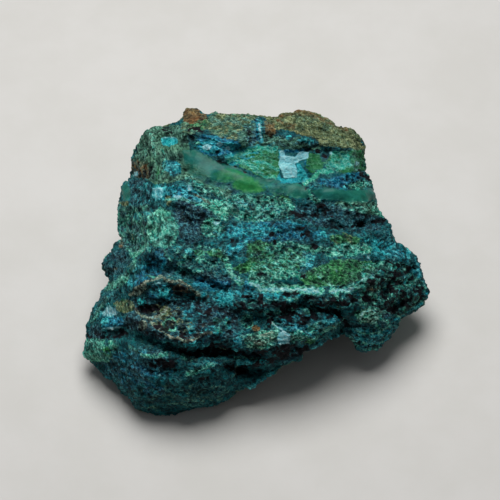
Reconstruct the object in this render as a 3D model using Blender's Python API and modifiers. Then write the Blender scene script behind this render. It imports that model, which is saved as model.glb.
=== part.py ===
"""Rough chrysocolla specimen: one broken stone, resting on its own natural base.

Two frames are used, both in millimetres. In the display frame the broken display side faces the
reader: right, up the layers towards the weathered crust, and out of the display side. In the
standing frame the stone stands on its base: right, back, and height above the base. The stone is
shaped in the display frame, leaned back onto its base, and cut off flat where it stands.

Convex blocks give the large broken faces. Strokes then raise and cut what grew or broke off on
the display side: rims, ridges, creases, undercuts, hollows and pits. Layered noise gives the
lumps and thin ledges that run round the whole stone.
"""

import math
import random

import bmesh
import bpy
import numpy as np
from mathutils import Matrix, Vector, noise

MM = 0.001

# Driving dimensions, in millimetres and degrees.
LEAN_BACK_DEG = 40.0  # the display side faces 50 degrees above the horizon
BASE_DROP = 7.0  # how far the display frame's origin lies above the base
BLOCK_VOXEL = 0.8
CORNER_ROUNDING_PASSES = 2
LAYER_TILT_DEG = 11.0  # the layers fall to the right
LAYER_SPACING = 4.2
LAYER_STEP = 0.35
LAYER_WANDER = 2.5
LAYER_WANDER_SIZE = 11.0
LUMPS = ((14.0, 1.0), (6.0, 0.8), (2.8, 0.6))  # (size, rise)
SCOOPS = (13.0, 3.4)  # (size, depth) of the shell-like breaks on the hidden sides
TRIANGLES = 10500  # before the base is cut
SEED = Vector((3.7, 11.2, 5.9))

# Convex blocks of the display side by their corners: (right, up, out).
FACE_BLOCKS = {
    "display slab": (
        (-27, 31.5, 19.5), (-1.5, 33, 20.3), (21.5, 30.5, 17.8), (28, 23.5, 12), (32.2, 15, 13),
        (36, 7.5, 15.5), (34, -5.5, 25), (21, -6, 31), (8.5, -7, 33.5), (-4, -6, 34),
        (-16.5, -2, 32.5), (-26.5, 2, 30), (-27.5, 16, 26), (-27, 26, 22.5), (-30, 33, 12),
        (-33.2, 24, 10), (-35.3, 18.5, 8), (-36, 10, 8), (-25, 29, 2), (22, 28, 3), (-26, -8, 10),
        (30, -6, 8),
    ),
    "crust left": (
        (-27.4, 35.2, 14), (-22, 36.5, 14), (-18.6, 36.6, 13), (-12, 38.3, 12), (-10.4, 39.4, 11),
        (-6.5, 39.5, 11), (-1.6, 38.8, 12), (3.5, 38.2, 12), (7, 37.5, 12), (-29, 32.5, 16),
        (-27, 33.5, 19), (-16.8, 33.5, 21), (-5.4, 33.3, 21.4), (6, 33.8, 20.6), (-22, 32, 2),
        (7, 34, 2),
    ),
    "crust right": (
        (4, 37.5, 13), (8.3, 39.1, 12), (11.2, 39.6, 11), (15.4, 39.1, 10), (18, 37.9, 10),
        (21, 37, 10), (24.4, 36, 9), (26.1, 34.7, 9), (27.3, 32.6, 9), (28.6, 29.2, 9),
        (28.3, 24, 10), (4, 33.3, 20.8), (11.3, 31.8, 20.6), (21.6, 29.8, 18.6), (26.4, 28.5, 14.5),
        (2, 32, 4), (24, 28, 2),
    ),
    "corner ridge": (
        (-26.5, 4, 29.5), (-28, 1, 30), (-31, -1.2, 28), (-34.5, -4.2, 25), (-37.5, -7.2, 21.5),
        (-40, -10, 18.5), (-27, -4, 31.5), (-30, -9, 31), (-35, -12, 26), (-31, 6, 16),
        (-36, -2, 12), (-38, -8, 10), (-28, 0, 8),
    ),
    "saddle": (
        (-28, 0, 30), (-20, -1.5, 31.5), (-12, -3.5, 32.8), (-5, -5, 33.5), (-27, -6, 32),
        (-6, -9, 35), (-24, -4, 14), (-6, -6, 14),
    ),
    "left bump": (
        (-38.6, 3.1, 11), (-36.8, 5.4, 12), (-40, -1, 12), (-39.4, -3, 13), (-38, -4.4, 15),
        (-34.5, -2, 20), (-33, 3, 20), (-31, 5, 14), (-32, -2, 6),
    ),
    "lower terrace": (
        (-6, -6, 34), (8, -7.5, 34), (21, -7, 31.5), (30, -7, 27), (-7, -12, 35.5),
        (6, -12.5, 36), (18, -12, 33.5), (19.5, -15.5, 32.5), (12.5, -19.5, 34), (6.5, -21, 35),
        (-3, -21, 36), (-9, -19, 36), (24, -12, 27), (14, -18, 22), (-4, -20, 22), (0, -2, 14),
        (26, -2, 14),
    ),
    "right lobe": (
        (36, 5.5, 17), (38.9, 4.2, 15), (40.8, 2.3, 14), (41.7, 1, 13.5), (42.6, -3.1, 13),
        (43.6, -5.6, 13), (44.9, -7.8, 13), (44.5, -9.1, 12.5), (42.8, -11.1, 14),
        (40.6, -12.6, 15.5), (37.3, -14.6, 18), (27, -12, 28), (25, -7, 30), (32, -1, 25.5),
        (39, -4, 20), (38, -9, 22), (36, 4, 4), (40, -8, 5), (28, -14, 6),
    ),
    "right foot": (
        (21, -13.5, 28), (23, -19, 23), (25, -21.7, 21), (27.5, -22.6, 20), (31.6, -22.6, 19),
        (32.6, -20.9, 19), (34.7, -18.4, 18.5), (36.3, -16.6, 18), (37, -13.5, 20),
        (28, -12.5, 28.5), (33, -13.5, 25), (30, -19.5, 24), (24, -15, 13), (35, -13, 9),
    ),
    "front lobe": (
        (-26.5, -3.5, 33), (-20, -3.5, 34), (-14, -6.5, 35), (-7, -8, 35), (-35.5, -5.5, 25),
        (-38.5, -8.5, 21), (-42, -11, 18), (-43.3, -15, 17.5), (-43.6, -19, 17),
        (-44.2, -23.6, 17.5), (-42, -25.5, 19), (-31, -13, 32), (-28, -18, 36), (-17, -19, 39),
        (-8, -18, 38.5), (-2, -19, 36.5), (-40, -17, 24), (-38, -23, 28), (-24, -21, 38),
        (-10, -21, 37), (-38, -6, 8), (-30, -24, 16), (-6, -24, 20),
    ),
    "belly": (
        (-38, -20, 28), (-41.5, -23, 22), (-43.8, -24, 17), (-41.5, -25.2, 17.5),
        (-39, -28, 18.5), (-36, -29.7, 20), (-33, -31.4, 22), (-32, -35.2, 24),
        (-29.3, -37.4, 24), (-26.5, -38.3, 23.5), (-24.8, -39.2, 23), (-22.9, -39.1, 23),
        (-18, -37.4, 22.5), (-14.7, -37.2, 22.5), (-9.8, -35.8, 22.5), (-7, -34, 23),
        (-5, -32.5, 24), (-29, -22, 36), (-20, -23, 38), (-12, -23, 38), (-6, -23, 36.5),
        (-5, -27, 34), (-28, -27, 36), (-16, -28, 38), (-30, -33, 31), (-18, -34, 33),
        (-9, -32, 31.5), (-35, -26, 10), (-10, -20, 10),
    ),
    "lip ledges": (
        (-9, -21.5, 35.5), (2, -22, 35), (8.5, -21.5, 33), (11.5, -22.5, 30.5), (11.8, -24, 28),
        (6.5, -26, 29), (0, -26, 31), (-7, -25, 33), (-4, -22, 20), (8, -20, 20),
    ),
    "lip underside": (
        (21, -17.2, 25), (20.5, -13, 28), (13, -21.6, 27), (8.4, -25, 26.5), (4.9, -27, 26.5),
        (0, -29, 26), (-5, -30.5, 27), (-6, -24, 31), (2, -23, 31.5), (10, -20, 31.5),
        (18, -15, 30.5), (16, -13, 20), (4, -18, 22), (-4, -24, 24),
    ),
    "web by the foot": (
        (22.6, -17.4, 22), (21.3, -18.7, 23), (17.5, -19.9, 25), (14.5, -20.9, 26),
        (12, -22, 26.5), (12, -16, 31), (18, -14, 30), (23.5, -12.5, 27), (23, -13, 19),
        (15, -17, 20),
    ),
    "lowest slab": (
        (-5, -28.5, 30), (3.5, -26.6, 30), (5.5, -26.6, 28.5), (4.6, -28, 27), (1.5, -29.6, 26.5),
        (-1.5, -32, 26), (-4, -32.6, 26), (-6, -31.5, 27.5), (-7, -28.5, 24), (3, -25, 20),
    ),
    "rust knob": (
        (-18.8, 37.4, 11), (-18.4, 39.3, 10.5), (-16.8, 40, 10), (-14.9, 39.3, 10.5),
        (-14.6, 37.8, 11), (-17, 39, 13), (-17, 36.5, 8), (-12.8, 37.9, 11), (-13, 36.5, 12.5),
    ),
}

# Convex blocks of the hidden side and the base: (right, back, height).
BACK_BLOCKS = {
    "body": (
        (-26, 13, 36), (-8, 17, 38), (10, 17, 38), (24, 13, 34), (33, -2, 24), (-34, 0, 22),
        (-23, 19, 26), (-2, 24, 30), (20, 19, 26), (29, 13, 12), (-31, 10, 13), (-12, 22, 5),
        (13, 21, 4), (-28, 7, -3), (-14, 18, -3), (16, 19, -3), (30, 2, -3), (21, -14, -3),
        (6, -23, -3), (-34, -18, -3), (-37, -12, 12), (34, -6, 12),
    ),
    "back left shoulder": (
        (-27, 13, 33), (-20, 23, 32), (-9, 27.5, 29), (-11, 28, 16), (-22, 24, 11), (-29, 14, 12),
        (-13, 18, 36), (-19, 19, 5), (-9, 23, 6), (-27, 8, 24),
    ),
    "back right break": (
        (0, 24.5, 34), (12, 25, 32), (20, 21.5, 29), (27, 14, 23), (27, 17, 12), (17, 23, 9),
        (10, 23, 9), (2, 15, 24), (23, 10, 30),
    ),
    "under lobe": (
        (-34, -14, -3), (-38, -24, 1), (-29, -42, 0), (-25, -45, -1.5), (-15, -43, -1.5),
        (-9, -40, 0), (3, -26, -3), (-10, -12, -3), (-38, -20, 10), (-8, -34, 12),
        (-20, -20, 20), (-36, -10, 9),
    ),
}

# What runs along a line on the display side: name, points (right, up), half width, rise.
STROKES = (
    ("pocket rim", ((-31, -6.4), (-26.7, -4.3), (-23.2, -3.7), (-19.8, -4.3), (-16.5, -5.7),
                    (-14.7, -7.4)), 1.3, 2.0),
    ("crevice behind the rim", ((-26.5, -2), (-20, -2.2), (-15, -4), (-11, -6), (-7.7, -6.6)),
     1.4, -2.6),
    ("wavy rim", ((-32, -13.7), (-28.2, -15.2), (-26, -16.7), (-22.7, -17.7), (-20.2, -18.5),
                  (-17.5, -19.6), (-15.2, -19), (-13.2, -17.6), (-10.2, -17)), 1.3, 1.6),
    ("undercut below the rim", ((-29, -18.7), (-24, -20.3), (-18.2, -22), (-12.7, -22.3),
                                (-7.7, -22), (-4, -22.8), (0.5, -23.2)), 1.5, -3.4),
    ("belly ledge", ((-28, -22.8), (-21.5, -23.2)), 1.2, 1.2),
    ("belly hollow", ((-27.5, -25.8), (-20.5, -26.2)), 1.8, -1.8),
    ("undercut above the lowest slab", ((-7, -26), (-1.5, -27.4), (3.5, -26.8), (8, -25.4)),
     1.5, -4.4),
    ("second lip ledge", ((-5.5, -23.9), (-1, -24.9), (3.2, -24.4)), 1.0, 1.2),
    ("corner ridge", ((-27.3, 3.3), (-30.4, 0.3), (-33, -2.3), (-36.3, -5.7), (-39.6, -9)),
     1.5, 1.4),
    ("crease behind the left bump", ((-32.5, 3.5), (-33.4, 0.5), (-35.7, -2), (-38.3, -4)),
     1.2, -1.8),
    ("left ridge", ((-27.5, 33), (-26.7, 26.7), (-27.4, 18.9), (-27.8, 11.1), (-27.2, 3.4)),
     1.4, 1.4),
    ("top of the dark step", ((-21.5, 15.5), (-15, 14), (-8, 11.5)), 1.3, 0.9),
    ("dark step", ((-20, 12), (-16, 9.5), (-12, 8.5), (-13, 5)), 3.0, -1.4),
    ("fibrous patch", ((-24.3, 12.5), (-23, 8.5), (-23.5, 4.5)), 2.4, 1.0),
    ("blue pocket", ((-13.5, 30.8), (-9, 30.3), (-5, 29.6)), 2.0, -1.8),
    ("crust overhang left", ((-18, 33), (-13, 33.8), (-6, 33), (-3, 31)), 1.4, 1.0),
    ("crust overhang right", ((8, 32.5), (13, 32.5), (20, 30), (26, 29)), 1.6, 0.9),
    ("upper black streak", ((10.5, 14), (20, 12.5), (31, 12.3)), 0.9, -0.8),
    ("lower black streak", ((12, 11), (21, 9.5), (31, 10.8)), 0.9, -0.9),
    ("glassy band", ((-17.5, 28), (-11, 24.5), (-3, 20.5), (9, 19.5), (20, 17.8), (30, 17.5)),
     1.7, 0.6),
    ("white layer", ((-1.2, -5.4), (1, -7.2), (8.5, -7.3), (20, -7), (24, -6), (28.3, -4)),
     1.1, 1.1),
    ("foot crease", ((19.5, -11), (21.5, -14), (22, -16.5), (20.5, -19)), 1.2, -3.0),
    ("foot crest", ((25, -12), (28.3, -12.8), (32, -13.5)), 2.0, 0.8),
    ("black band", ((-4, -9.8), (8, -10.2), (22, -9.8)), 2.2, -1.1),
    ("bulge above the white layer", ((-2, -1), (8, -2.5), (22, -2)), 3.2, 1.0),
    ("olive lumps", ((-3, -17.5), (3, -18.8), (9.5, -17.5)), 1.8, 0.9),
    ("cyan lump", ((14.5, -14.8), (17, -14.2)), 1.8, 0.8),
    ("dark gap above the olive lumps", ((0.5, -13.5), (4.5, -15)), 1.3, -1.6),
)

# Round hollows and knobs on the display side: name, centre (right, up), radii, rise.
DIMPLES = (
    ("pocket", (-22.7, -8.9), (7.2, 3.2), -3.0),
    ("pocket hole", (-27.3, -12), (2.4, 1.2), -2.8),
    ("left rim hollow", (-19.7, -7), (1.6, 1.4), -1.6),
    ("right rim hollow", (-16.4, -7.6), (1.5, 1.3), -1.5),
    ("turquoise blob in the pocket", (-28.8, -9.5), (1.8, 1.4), 1.6),
    ("blue chip", (-36.4, -15), (2.6, 1.3), 1.8),
    ("hollow below the chip", (-33.5, -17.6), (3.0, 1.3), -1.6),
    ("green knob", (-41.2, -21.3), (2.6, 2.4), 1.2),
    ("hanging teal tongue", (-17, -20.4), (2.2, 1.0), 1.4),
    ("turquoise blob on the lip", (-4.8, -19.8), (1.3, 1.8), 1.4),
    ("cyan bulge", (-7, -9), (2.0, 1.8), 0.9),
)

# Pitted areas: name, ends of the band (right, up), half height, count, depth.
PITTED = (
    ("black band", (-3.5, -9.8), (23, -9.6), 1.9, 26, 1.5),
    ("below the band", (-5, -13.2), (17, -12.6), 1.6, 12, 1.2),
    ("right lobe", (29, -4), (41, -6), 5.5, 26, 1.4),
    ("middle of the face", (-6, 14), (28, 9), 2.5, 16, 0.9),
    ("lower left of the face", (-20, 0.5), (-4, 2), 3.0, 12, 0.9),
)
PIT_RADIUS = (0.9, 1.5)


def clear_scene():
    for old in list(bpy.data.objects):
        bpy.data.objects.remove(old)


def lean_back_matrix():
    """Takes the display frame to the standing frame."""
    lean = Matrix.Rotation(math.radians(LEAN_BACK_DEG), 4, "X")
    return Matrix.Translation((0, 0, BASE_DROP)) @ lean


def add_block(bm, corners):
    verts = [bm.verts.new(Vector(corner) * MM) for corner in corners]
    bmesh.ops.convex_hull(bm, input=verts)
    inner = [v for v in verts if v.is_valid and not v.link_faces]
    bmesh.ops.delete(bm, geom=inner, context="VERTS")


def block_union(name):
    """All blocks in the display frame, joined into one closed skin of even faces."""
    bm = bmesh.new()
    for corners in FACE_BLOCKS.values():
        add_block(bm, corners)
    to_display = lean_back_matrix().inverted()
    for corners in BACK_BLOCKS.values():
        add_block(bm, [to_display @ Vector(corner) for corner in corners])
    mesh = bpy.data.meshes.new(name)
    bm.to_mesh(mesh)
    bm.free()
    stone = bpy.data.objects.new(name, mesh)
    bpy.context.scene.collection.objects.link(stone)
    remesh = stone.modifiers.new("Join blocks", "REMESH")
    remesh.mode = "VOXEL"
    remesh.voxel_size = BLOCK_VOXEL * MM
    soften = stone.modifiers.new("Soften corners", "SMOOTH")
    soften.iterations = CORNER_ROUNDING_PASSES
    soften.factor = 0.5
    return stone


def apply_modifiers(stone):
    graph = bpy.context.evaluated_depsgraph_get()
    mesh = bpy.data.meshes.new_from_object(stone.evaluated_get(graph))
    stone.modifiers.clear()
    old = stone.data
    stone.data = mesh
    bpy.data.meshes.remove(old)


def keep_outer_skin(mesh):
    """Drops the small bubbles left closed inside the stone where blocks meet."""
    bm = bmesh.new()
    bm.from_mesh(mesh)
    unseen = set(bm.verts)
    islands = []
    while unseen:
        front = [unseen.pop()]
        island = list(front)
        while front:
            vert = front.pop()
            reached = {edge.other_vert(vert) for edge in vert.link_edges} & unseen
            unseen -= reached
            front.extend(reached)
            island.extend(reached)
        islands.append(island)
    islands.sort(key=len)
    bubbles = [vert for island in islands[:-1] for vert in island]
    bmesh.ops.delete(bm, geom=bubbles, context="VERTS")
    bm.to_mesh(mesh)
    bm.free()


def points_and_normals(mesh):
    """Vertex places in millimetres, and their normals."""
    points = np.empty(len(mesh.vertices) * 3)
    normals = np.empty(len(mesh.vertices) * 3)
    mesh.vertices.foreach_get("co", points)
    mesh.vertex_normals.foreach_get("vector", normals)
    return points.reshape(-1, 3) / MM, normals.reshape(-1, 3)


def set_points(mesh, points):
    mesh.vertices.foreach_set("co", (points * MM).ravel())
    mesh.update()


def distance_to_line(places, line):
    """Each place's distance to a chain of points in the display plane."""
    nearest = np.full(len(places), np.inf)
    for start, end in zip(line[:-1], line[1:]):
        start = np.array(start)
        run = np.array(end) - start
        along = np.clip((places - start) @ run / (run @ run), 0, 1)
        gap = places - start - along[:, None] * run
        nearest = np.minimum(nearest, np.hypot(gap[:, 0], gap[:, 1]))
    return nearest


def pit_centres(start, end, half_height, count, rng):
    for _ in range(count):
        along = rng.random()
        across = rng.uniform(-half_height, half_height)
        right = start[0] + along * (end[0] - start[0])
        up = start[1] + along * (end[1] - start[1]) + across
        yield right, up


def carve_display_side(mesh):
    """Raises and cuts the strokes, dimples and pits straight out of the display side."""
    points, normals = points_and_normals(mesh)
    places = points[:, :2]
    rise = np.zeros(len(points))
    for _, line, half_width, height in STROKES:
        rise += height * np.exp(-((distance_to_line(places, line) / half_width) ** 2))
    for _, centre, radii, height in DIMPLES:
        reach = (((places - centre) / radii) ** 2).sum(axis=1)
        rise += height * np.exp(-(reach**2))
    rng = random.Random(7)
    for _, start, end, half_height, count, depth in PITTED:
        for centre in pit_centres(start, end, half_height, count, rng):
            radius = rng.uniform(*PIT_RADIUS)
            reach = ((places - centre) ** 2).sum(axis=1) / radius**2
            rise -= depth * np.exp(-(reach**2))
    facing = np.clip((normals[:, 2] - 0.05) / 0.3, 0, 1)
    points[:, 2] += rise * facing
    set_points(mesh, points)


def noise_at(points, size):
    return np.array([noise.noise(Vector(point) / size + SEED) for point in points])


def add_lumps(mesh):
    points, normals = points_and_normals(mesh)
    height = np.zeros(len(points))
    for size, rise in LUMPS:
        height += rise * noise_at(points, size)
    set_points(mesh, points + normals * height[:, None])


def scoop_hidden_sides(mesh):
    """Shallow shell-like hollows that meet in sharp ridges, as on any broken face."""
    points, normals = points_and_normals(mesh)
    size, depth = SCOOPS
    centres = [noise.voronoi(Vector(point) / size + SEED)[0][0] for point in points]
    hidden = np.clip(0.2 - normals[:, 2], 0, 1)
    height = depth * hidden * (np.array(centres) - 0.55)
    set_points(mesh, points + normals * height[:, None])


def add_ledges(mesh):
    """Thin steps where harder layers stand proud of softer ones."""
    points, normals = points_and_normals(mesh)
    tilt = math.radians(LAYER_TILT_DEG)
    across = points @ np.array([math.sin(tilt), math.cos(tilt), 0.15])
    phase = (across + LAYER_WANDER * noise_at(points, LAYER_WANDER_SIZE)) / LAYER_SPACING
    step = phase - np.floor(phase)
    set_points(mesh, points + normals * (LAYER_STEP * (step - 0.5))[:, None])


def lean_back(mesh):
    matrix = lean_back_matrix()
    matrix.translation *= MM
    mesh.transform(matrix)


def thin_out(stone):
    """Fewer, larger faces, kept small only where the surface bends."""
    stone.data.calc_loop_triangles()
    decimate = stone.modifiers.new("Thin out", "DECIMATE")
    decimate.ratio = TRIANGLES / len(stone.data.loop_triangles)
    apply_modifiers(stone)


def cut_base(mesh):
    """Cuts off flat what lies below the standing surface, and closes the cut."""
    bm = bmesh.new()
    bm.from_mesh(mesh)
    geometry = bm.verts[:] + bm.edges[:] + bm.faces[:]
    bmesh.ops.bisect_plane(
        bm, geom=geometry, dist=1e-7, plane_co=(0, 0, 0), plane_no=(0, 0, 1), clear_inner=True
    )
    rim = [edge for edge in bm.edges if edge.is_boundary]
    bmesh.ops.holes_fill(bm, edges=rim)
    bmesh.ops.triangulate(bm, faces=bm.faces[:])
    bmesh.ops.recalc_face_normals(bm, faces=bm.faces[:])
    bm.to_mesh(mesh)
    bm.free()


def centre_on_base(mesh):
    points = np.array([v.co for v in mesh.vertices])
    middle = (points.min(axis=0) + points.max(axis=0)) / 2
    mesh.transform(Matrix.Translation((-middle[0], -middle[1], -points.min(axis=0)[2])))


def stone_material():
    material = bpy.data.materials.new("chrysocolla")
    material.use_nodes = True
    shader = material.node_tree.nodes["Principled BSDF"]
    shader.inputs["Base Color"].default_value = (0.05, 0.28, 0.30, 1.0)
    shader.inputs["Roughness"].default_value = 0.6
    return material


def build():
    clear_scene()
    stone = block_union("stone")
    apply_modifiers(stone)
    keep_outer_skin(stone.data)
    carve_display_side(stone.data)
    scoop_hidden_sides(stone.data)
    add_lumps(stone.data)
    add_ledges(stone.data)
    lean_back(stone.data)
    thin_out(stone)
    cut_base(stone.data)
    centre_on_base(stone.data)
    stone.data.materials.append(stone_material())
    return stone


build()
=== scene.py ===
# %% [markdown]
# # The looks of a chrysocolla specimen
#
# The stone is one broken piece of copper ore. Its display side is a fresh break that cuts
# across layers of blue-green chrysocolla, mint malachite, glassy silica and black tenorite,
# with an olive weathered crust on top. The frame already holds its big forms: the slab, the
# lobes, the overhanging lip and the flat spot below. This script gives it a fine surface and
# its minerals, and sets up a plain studio round it.

import math
import random

import bmesh
import bpy
import numpy as np
from mathutils import Matrix, Vector, kdtree, noise


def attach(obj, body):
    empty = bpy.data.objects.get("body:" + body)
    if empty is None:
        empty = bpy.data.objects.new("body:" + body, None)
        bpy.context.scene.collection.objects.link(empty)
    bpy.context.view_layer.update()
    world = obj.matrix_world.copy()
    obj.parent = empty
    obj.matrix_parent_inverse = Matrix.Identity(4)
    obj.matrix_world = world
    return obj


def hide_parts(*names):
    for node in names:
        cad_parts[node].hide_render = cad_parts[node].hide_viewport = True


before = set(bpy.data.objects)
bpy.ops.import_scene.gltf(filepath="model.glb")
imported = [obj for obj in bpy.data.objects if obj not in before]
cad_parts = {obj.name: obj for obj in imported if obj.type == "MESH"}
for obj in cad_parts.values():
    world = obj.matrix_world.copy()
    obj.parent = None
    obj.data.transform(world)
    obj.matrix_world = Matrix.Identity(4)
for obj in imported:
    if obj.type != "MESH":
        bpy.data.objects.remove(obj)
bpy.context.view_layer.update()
MM = 0.001


# %% [markdown]
# ## The display side and the camera
#
# A collector leans the fresh break back so that light falls on it, and looks straight at it.
# All that is drawn on that side is easier to place on a flat grid that faces the viewer than
# in the room's own axes. The grid here has 500 steps each way, and a step is a little over a
# quarter of a millimetre at the stone's middle. The camera looks squarely
# at the grid, so one pair of helpers serves both: the camera is set from these values, and
# any point of the stone can be asked for its place on the grid.

# %% Camera
VIEW_ELEVATION = math.radians(50)
VIEW_DISTANCE = 0.60
GRID_STEPS = 500
STEP = 0.265 * MM
SENSOR_WIDTH = 36.0
NEAREST_SEEN = 10 * MM
DISPLAY_MIDDLE = Vector((-0.27, 9.99, 7.0)) * MM
DISPLAY_MIDDLE_ON_GRID = (256, 263)

view_right = Vector((1, 0, 0))
view_up = Vector((0, math.sin(VIEW_ELEVATION), math.cos(VIEW_ELEVATION)))
view_back = Vector((0, -math.cos(VIEW_ELEVATION), math.sin(VIEW_ELEVATION)))
grid_middle = GRID_STEPS / 2
look_at = (
    DISPLAY_MIDDLE
    + view_right * (grid_middle - DISPLAY_MIDDLE_ON_GRID[0]) * STEP
    - view_up * (grid_middle - DISPLAY_MIDDLE_ON_GRID[1]) * STEP
)

camera_data = bpy.data.cameras.new("camera")
camera_data.sensor_width = SENSOR_WIDTH
camera_data.lens = SENSOR_WIDTH / 2 * VIEW_DISTANCE / (grid_middle * STEP)
camera_data.clip_start = NEAREST_SEEN
camera = bpy.data.objects.new("camera", camera_data)
bpy.context.scene.collection.objects.link(camera)
camera.location = look_at + view_back * VIEW_DISTANCE
camera.rotation_mode = "QUATERNION"
camera.rotation_quaternion = view_back.to_track_quat("Z", "Y")
bpy.context.scene.camera = camera
print("camera lens in mm:", round(camera_data.lens, 1))


def on_grid(points):
    """Where points of the stone are seen on the viewer's grid: steps right, steps down."""
    offset = points - np.array(look_at)
    depth = VIEW_DISTANCE - offset @ np.array(view_back)
    scale = VIEW_DISTANCE / depth / STEP
    right = grid_middle + (offset @ np.array(view_right)) * scale
    down = grid_middle - (offset @ np.array(view_up)) * scale
    return np.stack([right, down], axis=1)


# %% [markdown]
# ## A skin fine enough to carve
#
# The solid has flat facets about 2 mm wide, and its mesh is loose triangles. A copy is merged
# into one closed skin, then remeshed on a quarter-millimetre grid, and relaxed until the
# facets melt into smooth stone. Subdivision would also give more faces, but it keeps long thin
# triangles where the solid has them. A voxel remesh gives even faces everywhere, which is
# what grains and pits need.

# %% Skin
MERGE_REACH = 0.001 * MM
SKIN_VOXEL = 0.27 * MM
RELAX_SHARE = 0.5
RELAX_PASSES = 14


def closed_copy(node, name):
    """A copy of a node's loose triangles, merged into one closed skin."""
    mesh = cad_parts[node].data.copy()
    mesh.name = name
    mesh.materials.clear()
    form = bmesh.new()
    form.from_mesh(mesh)
    bmesh.ops.remove_doubles(form, verts=form.verts, dist=MERGE_REACH)
    form.to_mesh(mesh)
    form.free()
    copy = bpy.data.objects.new(name, mesh)
    bpy.context.scene.collection.objects.link(copy)
    return copy


def apply_modifiers(piece):
    """Makes what the modifiers show the piece's own mesh."""
    graph = bpy.context.evaluated_depsgraph_get()
    made = bpy.data.meshes.new_from_object(piece.evaluated_get(graph))
    piece.modifiers.clear()
    piece.data = made


def add_relaxing(piece, name, passes, group=""):
    """A modifier that draws every point of the group halfway to its neighbours, pass by pass."""
    relaxing = piece.modifiers.new(name, "SMOOTH")
    relaxing.factor = RELAX_SHARE
    relaxing.iterations = passes
    relaxing.vertex_group = group


skin = closed_copy("stone", "chrysocolla_stone")
even = skin.modifiers.new("even faces", "REMESH")
even.mode = "VOXEL"
even.voxel_size = SKIN_VOXEL
add_relaxing(skin, "melt facets", RELAX_PASSES)
apply_modifiers(skin)
print("fine skin:", len(skin.data.vertices), "points")

# %% [markdown]
# ## Reading the skin
#
# Carving and painting both work on all points at once, so the places and normals go into
# arrays. `facing` says how squarely a point faces the viewer: what is drawn on the display
# side fades out where the skin turns away, and the layers of the rock take over there.


# %% Points, normals and noise
def skin_points(piece):
    points = np.empty(len(piece.data.vertices) * 3, np.float32)
    piece.data.vertices.foreach_get("co", points)
    return points.reshape(-1, 3).astype(float)


def skin_normals(piece):
    normals = np.empty(len(piece.data.vertices) * 3, np.float32)
    piece.data.vertex_normals.foreach_get("vector", normals)
    return normals.reshape(-1, 3).astype(float)


def smooth_step(low, high, values):
    """0 at low and 1 at high, with a soft start and end."""
    share = np.clip((values - low) / (high - low), 0, 1)
    return share * share * (3 - 2 * share)


def soft_noise(points_mm, size, shift, octaves=1):
    """Smooth noise from about -1 to 1, with lumps of the given size in mm."""
    moved = (points_mm / size + np.array(shift)).tolist()
    if octaves == 1:
        return np.array([noise.noise(p) for p in moved])
    return np.array([noise.fractal(p, 0.8, 2.1, octaves) for p in moved])


# %% [markdown]
# ## Worn hollows and edges
#
# The solid has the big forms, but its blocks leave hollows deeper than the break has, and
# its edges run a little wide or short in places. A hollow is filled towards the viewer and an
# edge is worn or swollen along its own slope, each in an oval on the grid that fades to
# nothing at its rim. The skin is then relaxed again where it was filled, which melts the
# ledges that the filling leaves.

# %% Wear
# name, middle (right, down), half size, filling in mm
HOLLOWS = [
    ("under the crust", (218, 141), (36, 15), 3.4),
    ("band left", (262, 303), (48, 15), 4.4),
    ("band right", (320, 300), (46, 14), 4.8),
    ("pocket", (163, 293), (22, 12), 3.2),
    ("pocket right", (182, 290), (15, 10), 2.0),
    ("cluster corner", (232, 143), (16, 11), 2.0),
    ("by the swirl", (228, 156), (14, 8), 1.6),
    ("band hole", (307, 299), (13, 10), 2.8),
    ("band hole right", (330, 304), (20, 9), 2.0),
    ("band low", (262, 308), (32, 9), 1.6),
    ("below the right crust", (292, 143), (30, 10), 2.2),
    ("above the undercut", (206, 346), (30, 7), 1.2),
    ("belly", (160, 364), (24, 9), 1.6),
]
# name, middle, half size, push along the slope in mm
EDGES = [
    ("top left", (168, 122), (22, 10), -1.1),
    ("top left corner", (140, 131), (9, 9), 1.3),
    ("crust top", (346, 121), (22, 12), -1.3),
    ("right edge", (368, 157), (10, 16), -0.7),
    ("right edge low", (381, 203), (14, 22), -1.3),
    ("left notch", (119, 236), (12, 14), 1.2),
    ("left edge", (129, 172), (11, 26), -1.0),
    ("left bump", (103, 264), (12, 15), 1.0),
    ("left of the slope", (103, 291), (12, 13), 1.1),
    ("left rim", (89, 314), (12, 15), 1.1),
    ("right shoulder", (389, 230), (9, 14), 0.6),
    ("right lobe", (417, 262), (13, 20), 0.7),
    ("foot", (394, 338), (13, 18), 0.6),
]
TURNED_TO_VIEWER = (-0.2, 0.4)
LEAST_FILLED = 0.02
RELAX_FILLED = 70


def oval_distance(places, middle, half_size):
    """How far places are from the middle of an oval on the grid: 1 on its rim."""
    return np.linalg.norm((places - np.array(middle)) / np.array(half_size), axis=1)


def oval_share(places, middle, half_size):
    """1 in the middle of an oval on the grid, fading to 0 at its rim."""
    return smooth_step(1, 0, oval_distance(places, middle, half_size))


def set_points(piece, points):
    piece.data.vertices.foreach_set("co", points.astype(np.float32).ravel())
    piece.data.update()


points = skin_points(skin)
normals = skin_normals(skin)
grid = on_grid(points)
towards_viewer = smooth_step(*TURNED_TO_VIEWER, normals @ np.array(view_back))
filled = np.zeros(len(points))
for name, middle, half_size, push in HOLLOWS:
    share = oval_share(grid, middle, half_size) * towards_viewer
    points += share[:, None] * push * MM * np.array(view_back)
    filled = np.maximum(filled, share)
for name, middle, half_size, push in EDGES:
    points += (oval_share(grid, middle, half_size) * push * MM)[:, None] * normals
set_points(skin, points)
filled_group = skin.vertex_groups.new(name="filled")
for index in np.flatnonzero(filled > LEAST_FILLED).tolist():
    filled_group.add([index], float(min(1, 2 * filled[index])), "REPLACE")
add_relaxing(skin, "melt the filling", RELAX_FILLED, "filled")
apply_modifiers(skin)
print("filled:", int((filled > 0.5).sum()), "points; edges moved:", len(EDGES))

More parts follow.
